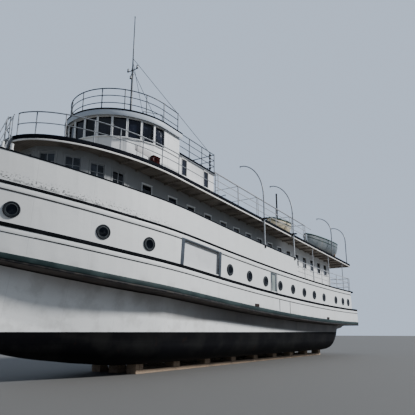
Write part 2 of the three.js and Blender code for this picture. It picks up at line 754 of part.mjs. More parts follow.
// Pilothouse

const pilotLow = (x) => boatDeckZ(x) + GAP;
const pilotHigh = (x) => boatDeckZ(x) + PILOT.height;
const pilotNose = noseLine(PILOT.shoulder, PILOT.nose, PILOT.half, PILOT.panes);
const pilotLine = [[PILOT.aft, PILOT.half], ...pilotNose, [PILOT.aft, -PILOT.half]];
const pilotHoles = pilotNose.slice(1).map((to, index) => {
  const from = pilotNose[index];
  const width = Math.hypot(to[0] - from[0], to[1] - from[1]) - PILOT.mullion;
  const floor = boatDeckZ((from[0] + to[0]) / 2);
  return windowHole(from, to, width, floor + PILOT_WINDOW.sill, floor + PILOT_WINDOW.head);
});

function slopedBox(aft, fore, inner, outer, low, high) {
  return loft(
    [aft, fore].map((x) => [
      vector(x, outer, boatDeckZ(x) + low),
      vector(x, outer, boatDeckZ(x) + high),
      vector(x, inner, boatDeckZ(x) + high),
      vector(x, inner, boatDeckZ(x) + low),
    ]),
  );
}

const pilotDoorHole = slopedBox(
  PILOT_DOOR.aft,
  PILOT_DOOR.fore,
  PILOT.half - 200,
  PILOT.half + 200,
  PILOT_DOOR.sill,
  PILOT_DOOR.head,
);
const pilotWall = wallAlong(pilotLine, -WALL, pilotLow, pilotHigh);
piece("pilothouse_wall", cut(pilotWall, [...pilotHoles, pilotDoorHole, mirrored(pilotDoorHole)]), "white");

const pilotLeaf = slopedBox(
  PILOT_DOOR.aft + RUNNING_GAP,
  PILOT_DOOR.fore - RUNNING_GAP,
  PILOT.half - DOOR,
  PILOT.half,
  PILOT_DOOR.sill + RUNNING_GAP,
  PILOT_DOOR.head - RUNNING_GAP,
);
pair("pilothouse_door", pilotLeaf, "white");

const pilotBackHalf = PILOT.half - WALL - GAP;
const pilotBack = slopedBox(PILOT.aft, PILOT.aft + WALL, -pilotBackHalf, pilotBackHalf, GAP, PILOT.height);
piece("pilothouse_back", pilotBack, "white");

// The panes, as one band behind the window openings
const GLASS = 8;
const GLASS_GAP = 2;
const GLASS_LAP = 40;
const glassNose = noseLine(
  PILOT.shoulder,
  PILOT.nose - WALL - GLASS_GAP,
  PILOT.half - WALL - GLASS_GAP,
  PILOT.panes,
);
const glassBand = wallAlong(
  glassNose,
  -GLASS,
  (x) => boatDeckZ(x) + PILOT_WINDOW.sill - GLASS_LAP,
  (x) => boatDeckZ(x) + PILOT_WINDOW.head + GLASS_LAP,
);
piece("pilothouse_glass", glassBand, "glass");

const pilotRoofLine = noseLine(
  PILOT.shoulder,
  PILOT.nose + ROOF_OVERHANG,
  PILOT.half + ROOF_OVERHANG,
  2 * PILOT.panes,
);
const pilotRoof = slabOver(
  [[PILOT.aft - ROOF_OVERHANG, PILOT.half + ROOF_OVERHANG], ...pilotRoofLine],
  (x) => boatDeckZ(x) + PILOT.height + GAP,
  (x) => boatDeckZ(x) + PILOT.height + ROOF,
);
piece("pilothouse_roof", pilotRoof, "black");

// Texas house

const TEXAS_FORE_X = PILOT.aft - GAP;
const texasSide = slopedBox(TEXAS.aft, TEXAS_FORE_X, TEXAS.half - WALL, TEXAS.half, GAP, TEXAS.height);
const texasHoles = TEXAS_WINDOW_XS.map((x) => {
  const floor = boatDeckZ(x);
  const [from, to] = [[x - 100, TEXAS.half], [x + 100, TEXAS.half]];
  return windowHole(from, to, TEXAS_WINDOW.width, floor + TEXAS_WINDOW.low, floor + TEXAS_WINDOW.high);
});
const texasPort = cut(texasSide, texasHoles);
const texasBack = slopedBox(TEXAS.aft, TEXAS.aft + WALL, -TEXAS.half, TEXAS.half, GAP, TEXAS.height);
const texasBackDoor = slopedBox(
  TEXAS.aft - 200,
  TEXAS.aft + 200,
  TEXAS_DOOR.inner,
  TEXAS_DOOR.outer,
  TEXAS_DOOR.sill,
  TEXAS_DOOR.head,
);
piece("texas_wall", cut(joined([texasPort, mirrored(texasPort), texasBack]), [texasBackDoor]), "white");

const texasRoof = slopedBox(
  TEXAS.aft - ROOF_OVERHANG,
  TEXAS_FORE_X,
  -TEXAS.half - ROOF_OVERHANG,
  TEXAS.half + ROOF_OVERHANG,
  TEXAS.height + GAP,
  TEXAS.height + ROOF,
);
piece("texas_roof", texasRoof, "black");

// Rails of the upper decks

const pilotRoofTop = (x) => boatDeckZ(x) + PILOT.height + ROOF + FOOT_CLEARANCE;
const texasRoofTop = (x) => boatDeckZ(x) + TEXAS.height + ROOF + FOOT_CLEARANCE;
const PILOT_RAIL = { bays: 8, inset: 120 };
const pilotRailHalf = PILOT.half - PILOT_RAIL.inset;
const pilotRailNose = noseLine(PILOT.shoulder, PILOT.nose - PILOT_RAIL.inset, pilotRailHalf, PILOT_RAIL.bays);
const pilotRailLine = [[PILOT.aft, pilotRailHalf], ...pilotRailNose, [PILOT.aft, -pilotRailHalf]];
piece("pilothouse_rail", fence(pilotRailLine, pilotRoofTop, ROOF_RAIL_HEIGHTS), "rail");

const TEXAS_RAIL_Y = 1950;
const TEXAS_RAIL_XS = [5980, 4900, 3850, 2720];
const texasRailLine = [
  ...TEXAS_RAIL_XS.map((x) => [x, TEXAS_RAIL_Y]),
  [TEXAS_RAIL_XS.at(-1), TEXAS_RAIL_Y / 3],
  [TEXAS_RAIL_XS.at(-1), -TEXAS_RAIL_Y / 3],
  ...[...TEXAS_RAIL_XS].reverse().map((x) => [x, -TEXAS_RAIL_Y]),
];
piece("texas_rail", fence(texasRailLine, texasRoofTop, ROOF_RAIL_HEIGHTS), "rail");

const RAIL_STEP_X = 4300;
const DECK_RAIL_BAYS = 14;
const LADDER_HALF = 240;
const boatDeckTop = (x) => boatDeckZ(x) + FOOT_CLEARANCE;
const railNose = noseLine(
  BOAT_DECK.shoulder,
  BOAT_DECK.nose - RAIL_INSET,
  BOAT_DECK.half - RAIL_INSET,
  DECK_RAIL_BAYS,
);
const LADDER_HEAD_X = BOAT_DECK.nose - RAIL_INSET - 40;
const portRailLine = [
  [RAIL_STEP_X, BOAT_DECK.half - RAIL_INSET],
  ...railNose.filter(([, y]) => y > 2 * LADDER_HALF),
  [LADDER_HEAD_X, LADDER_HALF],
];
const foreDeckRail = fence(portRailLine, boatDeckTop, DECK_RAIL_HEIGHTS);

const SIDE_RAIL_XS = [-6300, -4200, -2050, 100, 2200, RAIL_STEP_X + POST_WIDTH / 2];
const sideRailLine = SIDE_RAIL_XS.map((x) => [x, BOAT_DECK.half - RAIL_INSET]);
const sideDeckRail = fence(sideRailLine, boatDeckTop, SIDE_RAIL_HEIGHTS);
pair("boat_deck_rail", foreDeckRail.add(sideDeckRail), "rail");

// Pipe frame for an awning, at the height of the texas roof
const awningTop = (x) => boatDeckZ(x) + AWNING.height;
const awningParts = [];
for (const y of [AWNING.y, -AWNING.y]) {
  const fore = vector(AWNING.fore + AWNING.post, y, awningTop(AWNING.fore));
  const aft = vector(AWNING.aft, y, awningTop(AWNING.aft));
  awningParts.push(rod(fore, aft, AWNING.pipe));
  for (const x of AWNING_POST_XS) {
    awningParts.push(rod(vector(x, y, boatDeckTop(x)), vector(x, y, awningTop(x)), AWNING.post));
  }
}
for (const x of AWNING_POST_XS) {
  awningParts.push(rod(vector(x, -AWNING.y, awningTop(x)), vector(x, AWNING.y, awningTop(x)), AWNING.pipe));
}
piece("awning_frame", joined(awningParts), "rail");

// Davits: a straight post, then a quarter of an ellipse inboard

const STRAIGHT_SHARE = 0.1;

class DavitCurve extends THREE.Curve {
  constructor(x, footZ, bendZ, size) {
    super();
    Object.assign(this, { x, footZ, bendZ, size });
  }

  getPoint(t, target = new THREE.Vector3()) {
    const { y, reach, rise } = this.size;
    if (t <= STRAIGHT_SHARE) {
      return target.set(this.x, y, this.footZ + ((this.bendZ - this.footZ) * t) / STRAIGHT_SHARE);
    }
    const angle = (Math.PI / 2) * ((t - STRAIGHT_SHARE) / (1 - STRAIGHT_SHARE));
    return target.set(this.x, y - reach * (1 - Math.cos(angle)), this.bendZ + rise * Math.sin(angle));
  }
}

function ringSection(radius, sides) {
  const shape = new THREE.Shape();
  for (let side = 0; side < sides; side += 1) {
    const angle = (Math.PI * 2 * side) / sides;
    const [x, y] = [radius * Math.cos(angle), radius * Math.sin(angle)];
    if (side === 0) {
      shape.moveTo(x, y);
    } else {
      shape.lineTo(x, y);
    }
  }
  shape.closePath();
  return shape;
}

const FOOT_PLATE = { height: 60, margin: 22 };

for (const { name, x, size, onBulwark } of DAVITS) {
  const footZ = (onBulwark ? deckZ(x, BULWARK_TOP) : boatDeckTop(x)) + DAVIT_FOOT_GAP;
  const curve = new DavitCurve(x, footZ, boatDeckZ(x) + size.straight, size);
  curve.getPointAt = curve.getPoint;
  curve.getTangentAt = curve.getTangent;
  const geometry = new THREE.ExtrudeGeometry(ringSection(DAVIT_RADIUS, DAVIT_SIDES), {
    steps: DAVIT_STEPS,
    extrudePath: curve,
    bevelEnabled: false,
  });
  const plateTop = vector(x, size.y, footZ + FOOT_PLATE.height);
  const footPlate = rod(vector(x, size.y, footZ), plateTop, DAVIT_RADIUS + FOOT_PLATE.margin);
  pair(name, solidOf(geometry).add(footPlate), "davit");
}

// Lifeboats on chocks, open on top

function boatShell(length, beam, depth, baseZ, middleX, sink) {
  const stations = 8;
  const rings = [];
  for (let station = 0; station <= stations; station += 1) {
    const along = -1 + (2 * station) / stations;
    const fullness = Math.max(0.06, (1 - along ** 2) ** 0.6);
    const half = (beam / 2) * fullness;
    const keel = baseZ + depth * 0.45 * along ** 4;
    const top = baseZ + depth + depth * 0.22 * along ** 2 + sink;
    const x = middleX + (length / 2) * along;
    const port = [
      vector(x, half * 0.3, keel),
      vector(x, half * 0.72, keel + (top - keel) * 0.22),
      vector(x, half * 0.95, keel + (top - keel) * 0.55),
      vector(x, half, top),
    ];
    rings.push([...port, ...port.map((p) => vector(p.x, -p.y, p.z)).reverse()]);
  }
  return loft(rings);
}

const CHOCK = { half: 60, offset: 0.28, share: 0.36, height: 0.3 };

for (const { name, x, y, finish, size } of LIFEBOATS) {
  const [length, beam, depth, chock] = size;
  const keel = boatDeckZ(x) + chock;
  const hull = boatShell(length, beam, depth, keel, x, 0);
  const inside = boatShell(
    length - 6 * LIFEBOAT_SHELL,
    beam - 2 * LIFEBOAT_SHELL,
    depth,
    keel + LIFEBOAT_SHELL,
    x,
    60,
  );
  const parts = [cut(hull, [inside])];
  for (const offset of [-CHOCK.offset, CHOCK.offset]) {
    const middle = x + offset * length;
    const half = beam * CHOCK.share;
    const [aft, fore] = [middle - CHOCK.half, middle + CHOCK.half];
    const foot = boatDeckZ(fore) + GAP;
    const support = box(aft, fore, -half, half, foot, keel + depth * CHOCK.height);
    parts.push(cut(support, [inside]));
  }
  const boat = geometryOf(joined(parts));
  boat.translate(0, y, 0);
  pair(name, solidOf(boat), finish);
}

// Mast with its backstay

const mastFoot = pilotRoofTop(MAST.x);
const MAST_PLATE = { low: 12, high: 42, radius: 140, sides: 12 };
const CROSS_TREE = { half: 340, below: 110, radius: 22 };
const STAY = { below: 60, radius: 11, inset: 40, above: 12 };
const mastAt = (z) => vector(MAST.x, 0, z);
const mastLow = rod(mastAt(mastFoot), mastAt(MAST.capZ), MAST.radius, 10);
const mastTop = rod(mastAt(MAST.capZ - 50), mastAt(MAST.topZ), MAST.topRadius, 8, MAST.tip);
const mastPlate = rod(
  mastAt(mastFoot + MAST_PLATE.low),
  mastAt(mastFoot + MAST_PLATE.high),
  MAST_PLATE.radius,
  MAST_PLATE.sides,
);
const crossZ = MAST.capZ - CROSS_TREE.below;
const crossTree = rod(
  vector(MAST.x, -CROSS_TREE.half, crossZ),
  vector(MAST.x, CROSS_TREE.half, crossZ),
  CROSS_TREE.radius,
);
const stayX = TEXAS.aft + STAY.inset;
const stayEnd = vector(stayX, 0, texasRoofTop(stayX) + STAY.above);
const backStay = rod(mastAt(MAST.capZ - STAY.below), stayEnd, STAY.radius);
piece("mast", joined([mastLow, mastTop, mastPlate, crossTree, backStay]), "davit");

// Small fittings that stand on the decks

const STOVEPIPE = { x: -6500, y: 1000, height: 3650, radius: 55, sides: 10 };
const stovepipe = rod(
  vector(STOVEPIPE.x, STOVEPIPE.y, boatDeckTop(STOVEPIPE.x) + 4),
  vector(STOVEPIPE.x, STOVEPIPE.y, boatDeckTop(STOVEPIPE.x) + STOVEPIPE.height),
  STOVEPIPE.radius,
  STOVEPIPE.sides,
);
piece("stovepipe", stovepipe, "iron");

// Mooring bitts on a bed plate on the foredeck
const BITTS = { x: 14200, y: 200, low: 40, high: 560, radius: 85, sides: 10 };
const BITT_BED = { halfLength: 300, halfWidth: 330, clearance: 10, thickness: 60 };
const BITT_BAR = { height: 420, radius: 55, sides: 8 };
const bedZ = deckZ(BITTS.x + BITT_BED.halfLength, PASSENGER_DECK) + BITT_BED.clearance;
const bittBed = box(
  BITTS.x - BITT_BED.halfLength,
  BITTS.x + BITT_BED.halfLength,
  -BITT_BED.halfWidth,
  BITT_BED.halfWidth,
  bedZ,
  bedZ + BITT_BED.thickness,
);
const bittPosts = [-BITTS.y, BITTS.y].map((y) => {
  const [foot, head] = [vector(BITTS.x, y, bedZ + BITTS.low), vector(BITTS.x, y, bedZ + BITTS.high)];
  return rod(foot, head, BITTS.radius, BITTS.sides);
});
const barZ = bedZ + BITT_BAR.height;
const bittBar = rod(
  vector(BITTS.x, -BITT_BED.halfWidth, barZ),
  vector(BITTS.x, BITT_BED.halfWidth, barZ),
  BITT_BAR.radius,
  BITT_BAR.sides,
);
piece("bitts", joined([bittBed, ...bittPosts, bittBar]), "white");

// Ladder from the boat deck down to the foredeck, with its handrails
const LADDER = { run: 700, treads: 6, tread: 90, stringer: 40, inset: 60 };
Object.assign(LADDER, { rail: 860, railRadius: 17, railFrom: 0.08, posts: [0.1, 0.95] });
const ladderTop = { x: BOAT_DECK.nose + 60, z: boatDeckZ(BOAT_DECK.nose) - 60 };
const ladderFoot = { x: ladderTop.x + LADDER.run, z: 0 };
ladderFoot.z = deckZ(ladderFoot.x, PASSENGER_DECK) + 20;
const ladderAt = (share, y, lift) => {
  const x = ladderFoot.x + (ladderTop.x - ladderFoot.x) * share;
  return vector(x, y, ladderFoot.z + (ladderTop.z - ladderFoot.z) * share + lift);
};
const ladderParts = [];
for (const y of [-LADDER_HALF + LADDER.inset, LADDER_HALF - LADDER.inset]) {
  ladderParts.push(rod(ladderAt(0, y, 0), ladderAt(1, y, 0), LADDER.stringer, 4));
  const railFoot = ladderAt(LADDER.railFrom, y, LADDER.rail);
  ladderParts.push(rod(railFoot, ladderAt(1, y, LADDER.rail), LADDER.railRadius));
  for (const share of LADDER.posts) {
    ladderParts.push(rod(ladderAt(share, y, 0), ladderAt(share, y, LADDER.rail), LADDER.railRadius));
  }
}
for (let tread = 1; tread <= LADDER.treads; tread += 1) {
  const { x, z } = ladderAt((tread - 0.4) / LADDER.treads, 0, 0);
  const half = LADDER_HALF - LADDER.inset + 20;
  ladderParts.push(box(x - LADDER.tread, x + LADDER.tread, -half, half, z - 15, z + 15));
}
piece("fore_ladder", joined(ladderParts), "rail");

export default steamer;
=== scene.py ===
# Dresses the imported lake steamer: smooth plating, stripes, portholes, windows, pipe rails, davits,
# boats, mast and deck fittings, with their paint, timber and metal. Metres. X runs forward to the bow,
# Y to port and Z up.

import math
from contextlib import contextmanager

import bmesh
import bpy
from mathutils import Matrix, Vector


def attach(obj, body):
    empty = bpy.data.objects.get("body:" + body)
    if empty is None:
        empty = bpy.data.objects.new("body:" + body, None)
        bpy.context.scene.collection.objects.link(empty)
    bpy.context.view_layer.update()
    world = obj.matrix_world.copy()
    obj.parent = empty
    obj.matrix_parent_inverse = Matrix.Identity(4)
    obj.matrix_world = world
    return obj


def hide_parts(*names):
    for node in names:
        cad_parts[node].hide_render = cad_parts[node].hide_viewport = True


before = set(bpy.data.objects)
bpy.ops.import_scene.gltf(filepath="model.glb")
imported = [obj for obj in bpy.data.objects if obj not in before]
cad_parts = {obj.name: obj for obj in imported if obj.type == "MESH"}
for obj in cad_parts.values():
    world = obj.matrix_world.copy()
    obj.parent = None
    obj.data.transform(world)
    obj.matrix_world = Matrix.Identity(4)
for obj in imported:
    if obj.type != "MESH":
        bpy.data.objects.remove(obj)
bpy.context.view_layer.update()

# The ship's own lines, as in its plan
STERN_X = -15.75
STEM_X = 15.15
SHOULDER_X = 6.05
HALF_BEAM = 3.15
STEM_HALF_WIDTH = 0.04
STEM_RAKE = 0.176
SHEER_AFT = 2.28
SHEER_CURVE = 0.00178
SHEER_BOW_START = 9.1
SHEER_BOW_RISE = 0.239
ENTRANCE = STEM_X - SHOULDER_X
AFT_BAYS = 8
BOW_BAYS = 14

# Heights above the sheer
STRAKE_LOW = -0.2
STRAKE_TOP = 0.06
LOWER_STRIPE = 0.95
UPPER_STRIPE = 2.3
STERN_BULWARK_TOP = 1.0
PORTHOLE_HEIGHT = 1.46
PASSENGER_DECK = 2.36
BULWARK_TOP = 3.4
BULWARK = 0.05

# Boat deck
DECK_SHOULDER = 7.1
DECK_NOSE = 12.95
DECK_AFT = -15.0
DECK_HALF = 3.075
DECK_THICKNESS = 0.15
DECK_NOSE_Z = 8.3
DECK_SLOPE = 0.054

# Houses
CABIN_HALF = 2.05
CABIN_AFT = -13.2
CABIN_SHOULDER = 9.1
CABIN_NOSE = 12.3
CABIN_PANES = 9
CABIN_WINDOW_XS = [
    -12.2, -10.9, -9.6, -8.3, -7.0, -5.7, -4.4, -3.1, -1.8, -0.5, 0.8, 2.1, 3.5, 4.9, 6.27, 7.96,
]
PILOT_AFT = 6.35
PILOT_SHOULDER = 7.35
PILOT_NOSE = 9.98
PILOT_HALF = 2.45
PILOT_HEIGHT = 2.23
PILOT_SILL = 1.17
PILOT_HEAD = 2.02
PILOT_PANES = 13
TEXAS_AFT = 2.75
TEXAS_HALF = 1.9
TEXAS_HEIGHT = 1.665
ROOF = 0.11
OVERHANG = 0.1

BLACK_SLOT = "roof_black"


# Lines of the ship

def bow_share(x):
    return max(0.0, (x - SHOULDER_X) / ENTRANCE)


def frame_places():
    aft = [STERN_X + (SHOULDER_X - STERN_X) * bay / AFT_BAYS for bay in range(AFT_BAYS)]
    return aft + [SHOULDER_X + ENTRANCE * bay / BOW_BAYS for bay in range(BOW_BAYS + 1)]


FRAMES = frame_places()


def sheer_curve(x):
    bow = max(0.0, (x - SHEER_BOW_START) / (STEM_X - SHEER_BOW_START))
    return SHEER_AFT + SHEER_CURVE * (x - STERN_X) ** 2 + SHEER_BOW_RISE * bow**1.5


def plan_curve(x):
    return max(STEM_HALF_WIDTH, HALF_BEAM * (1 - bow_share(x) ** 2))


def between_frames(curve, x):
    """The curve as the plating follows it: straight from frame to frame"""
    bay = max(index for index, place in enumerate(FRAMES[:-1]) if place <= x or index == 0)
    low, high = FRAMES[bay], FRAMES[bay + 1]
    return curve(low) + (curve(high) - curve(low)) * (x - low) / (high - low)


def sheer(x):
    return between_frames(sheer_curve, x)


def half_breadth(x):
    return between_frames(plan_curve, x)


def side_point(x, height, proud=0.0):
    """A point on the port side's plating, at a frame place and a height above the sheer"""
    return Vector((x + STEM_RAKE * height * bow_share(x), half_breadth(x) + proud, sheer(x) + height))


def side_run(aft, fore, height, proud=0.0):
    places = [aft] + [x for x in FRAMES if aft + 0.001 < x < fore - 0.001] + [fore]
    return [side_point(x, height, proud) for x in places]


def frame_at(true_x, height):
    """The frame place whose leaning section crosses a true place at a height above the sheer"""
    if true_x <= SHOULDER_X:
        return true_x
    return SHOULDER_X + (true_x - SHOULDER_X) / (1 + STEM_RAKE * height / ENTRANCE)


def deck_z(true_x, height):
    return sheer(frame_at(true_x, height)) + height


def boat_deck_z(x):
    return DECK_NOSE_Z - DECK_SLOPE * (DECK_NOSE - x)


def nose_line(shoulder, tip, half, steps, out=0.0):
    """Points at equal steps round an elliptical nose, from port to starboard, moved outwards"""
    fine = 720
    length, depth = tip - shoulder + out, half + out
    curve = [
        Vector((shoulder + length * math.sin(math.pi * part / fine), depth * math.cos(math.pi * part / fine)))
        for part in range(fine + 1)
    ]
    run = [0.0]
    for before, after in zip(curve, curve[1:]):
        run.append(run[-1] + (after - before).length)
    points = []
    for step in range(steps + 1):
        target = run[-1] * step / steps
        points.append(curve[next(index for index, length in enumerate(run) if length >= target - 1e-9)])
    return points


def lifted(points, height_of):
    return [Vector((point.x, point.y, height_of(point.x))) for point in points]


def both_sides(runs):
    return runs + [[Vector((point.x, -point.y, point.z)) for point in run] for run in runs]


# Modelling

SIDES = (1, -1)
SEWING_DISTANCE = 0.00001


def deselect_all():
    if bpy.context.mode != "OBJECT":
        bpy.ops.object.mode_set(mode="OBJECT")
    bpy.ops.object.select_all(action="DESELECT")


def activate(piece):
    deselect_all()
    piece.select_set(True)
    bpy.context.view_layer.objects.active = piece


def start_with(shape, name, **place):
    deselect_all()
    getattr(bpy.ops.mesh, f"primitive_{shape}_add")(**place)
    piece = bpy.context.active_object
    piece.name = name
    piece.data.name = name
    return piece


@contextmanager
def shaping(piece, choose="FACE"):
    activate(piece)
    bpy.ops.object.mode_set(mode="EDIT")
    bpy.ops.mesh.select_mode(type=choose)
    yield
    bpy.ops.object.mode_set(mode="OBJECT")


def pick(piece, parts, test):
    """Select the faces, edges or verts that pass a test, and nothing else"""
    bpy.ops.mesh.select_all(action="DESELECT")
    shape = bmesh.from_edit_mesh(piece.data)
    for part in getattr(shape, parts):
        if test(part):
            part.select_set(True)
    shape.select_flush_mode()
    bmesh.update_edit_mesh(piece.data)


def set_in_place(piece):
    activate(piece)
    bpy.ops.object.transform_apply(location=True, rotation=True, scale=True)
    return piece


def facing_out(piece):
    with shaping(piece):
        bpy.ops.mesh.select_all(action="SELECT")
        bpy.ops.mesh.normals_make_consistent(inside=False)
    return piece


def smoothed(piece, degrees=35):
    activate(piece)
    bpy.ops.object.shade_smooth_by_angle(angle=math.radians(degrees))
    return piece


def with_modifier(piece, kind, **settings):
    activate(piece)
    bpy.ops.object.modifier_add(type=kind)
    modifier = piece.modifiers[-1]
    for key, value in settings.items():
        setattr(modifier, key, value)
    bpy.ops.object.modifier_apply(modifier=modifier.name)
    return piece


def rounded(piece, width, segments=2, degrees=30):
    limit = math.radians(degrees)
    return with_modifier(piece, "BEVEL", width=width, segments=segments, angle_limit=limit)


def copied(piece, name):
    twin = piece.copy()
    twin.data = piece.data.copy()
    twin.name = name
    twin.data.name = name
    bpy.context.scene.collection.objects.link(twin)
    twin.hide_render = False
    twin.hide_viewport = False
    for key in [key for key in twin.keys() if key.startswith("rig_")]:
        del twin[key]
    return twin


def mirrored(piece, name):
    twin = copied(piece, name)
    twin.scale.y = -1
    set_in_place(twin)
    return facing_out(twin)


def joined(pieces, name):
    deselect_all()
    for piece in pieces:
        piece.select_set(True)
    bpy.context.view_layer.objects.active = pieces[0]
    bpy.ops.object.join()
    whole = bpy.context.active_object
    whole.name = name
    whole.data.name = name
    return whole


def spread(pattern, places, name):
    """Copies of a pattern, each at its place and turned about the vertical, made one piece"""
    copies = []
    for index, (place, turn) in enumerate(places):
        twin = copied(pattern, f"{name}_{index}")
        twin.location = place
        twin.rotation_euler = (0, 0, turn)
        copies.append(twin)
    bpy.data.objects.remove(pattern, do_unlink=True)
    return set_in_place(joined(copies, name))


def about(middle, half):
    """The span that reaches equally far to both sides of a middle"""
    return middle - half, middle + half


def block(name, along, across, up, bevel=0.0):
    """A box that spans two places along X, two across and two in height, with its edges bevelled"""
    low, high = (Vector(corner) for corner in zip(sorted(along), sorted(across), sorted(up)))
    piece = start_with("cube", name, size=1, location=(low + high) / 2)
    piece.scale = high - low
    set_in_place(piece)
    if bevel:
        with shaping(piece, "EDGE"):
            bpy.ops.mesh.select_all(action="SELECT")
            bpy.ops.mesh.bevel(offset=bevel, segments=2, affect="EDGES")
    return piece


def new_curve(name, runs, smooth=False):
    deselect_all()
    bpy.ops.curve.primitive_bezier_curve_add(enter_editmode=True)
    curve = bpy.context.active_object
    curve.name = name
    bpy.ops.curve.select_all(action="SELECT")
    bpy.ops.curve.delete(type="VERT")
    for run in runs:
        bpy.ops.curve.select_all(action="DESELECT")
        for point in run:
            bpy.ops.curve.vertex_add(location=point)
    bpy.ops.curve.select_all(action="SELECT")
    bpy.ops.curve.handle_type_set(type="AUTOMATIC" if smooth else "VECTOR")
    bpy.ops.object.mode_set(mode="OBJECT")
    curve.data.use_fill_caps = True
    curve.data.resolution_u = 4 if smooth else 1
    return curve


def pipes(name, runs, radius, sides=8, smooth=False, taper=None):
    """Round pipes along runs of points, given a solid surface; taper scales the radius at the points"""
    curve = new_curve(name, runs, smooth)
    curve.data.bevel_depth = radius
    curve.data.bevel_resolution = max(0, sides // 2 - 2)
    if taper:
        for spline in curve.data.splines:
            for point, share in zip(spline.bezier_points, taper):
                point.radius = share
    activate(curve)
    bpy.ops.object.convert(target="MESH")
    pipe = bpy.context.active_object
    set_in_place(pipe)
    return smoothed(pipe, 50)


def moulding(name, runs, thickness, height):
    """Upright bars with rounded edges along runs of points"""
    curve = new_curve(name, runs)
    curve.data.twist_mode = "Z_UP"
    curve.data.extrude = height / 2 - thickness / 4
    curve.data.bevel_depth = thickness / 4
    curve.data.bevel_resolution = 1
    curve.data.offset = thickness / 4
    activate(curve)
    bpy.ops.object.convert(target="MESH")
    return smoothed(set_in_place(bpy.context.active_object), 50)


def finished(piece, paint, slot, body="root", replaces=()):
    """Give a piece its paint and the body that it moves with; the slot is not used"""
    piece.data.materials.clear()
    piece.data.materials.append(PAINT[paint])
    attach(piece, body)
    if replaces:
        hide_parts(*replaces)
    return piece


def sewn_copy(node, name):
    """A copy of a node, with its loose triangles sewn together"""
    piece = copied(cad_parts[node], name)
    with shaping(piece, "VERT"):
        bpy.ops.mesh.select_all(action="SELECT")
        bpy.ops.mesh.remove_doubles(threshold=SEWING_DISTANCE)
    return piece


def smooth_copy(node, paint, slot, body="root", degrees=35, bevel=0.0):
    """A node's own shape with its facets shaded as one surface"""
    piece = sewn_copy(node, f"{node}_dressed")
    if bevel:
        with shaping(piece):
            bpy.ops.mesh.select_all(action="SELECT")
            bpy.ops.mesh.dissolve_limited(angle_limit=math.radians(0.5))
        rounded(piece, bevel)
    smoothed(piece, degrees)
    return finished(piece, paint, slot, body, [node])


def skin(node, name, faces, thickness):
    """A thin sheet on some faces of a node, which a test picks"""
    piece = sewn_copy(node, name)
    with shaping(piece):
        pick(piece, "faces", lambda face: not faces(face))
        bpy.ops.mesh.delete(type="FACE")
    return with_modifier(piece, "SOLIDIFY", thickness=thickness, offset=1)


# Paint and materials

class Value:
    """A number that varies over a surface, so that paint can be written as sums"""

    def __init__(self, finish, socket):
        self.finish = finish
        self.socket = socket

    def __add__(self, other):
        return self.finish.maths("ADD", self, other)

    def __sub__(self, other):
        return self.finish.maths("SUBTRACT", self, other)

    def __rsub__(self, other):
        return self.finish.maths("SUBTRACT", other, self)

    def __mul__(self, other):
        return self.finish.maths("MULTIPLY", self, other)

    def __truediv__(self, other):
        return self.finish.maths("DIVIDE", self, other)

    def __pow__(self, other):
        return self.finish.maths("POWER", self, other)

    __radd__ = __add__
    __rmul__ = __mul__


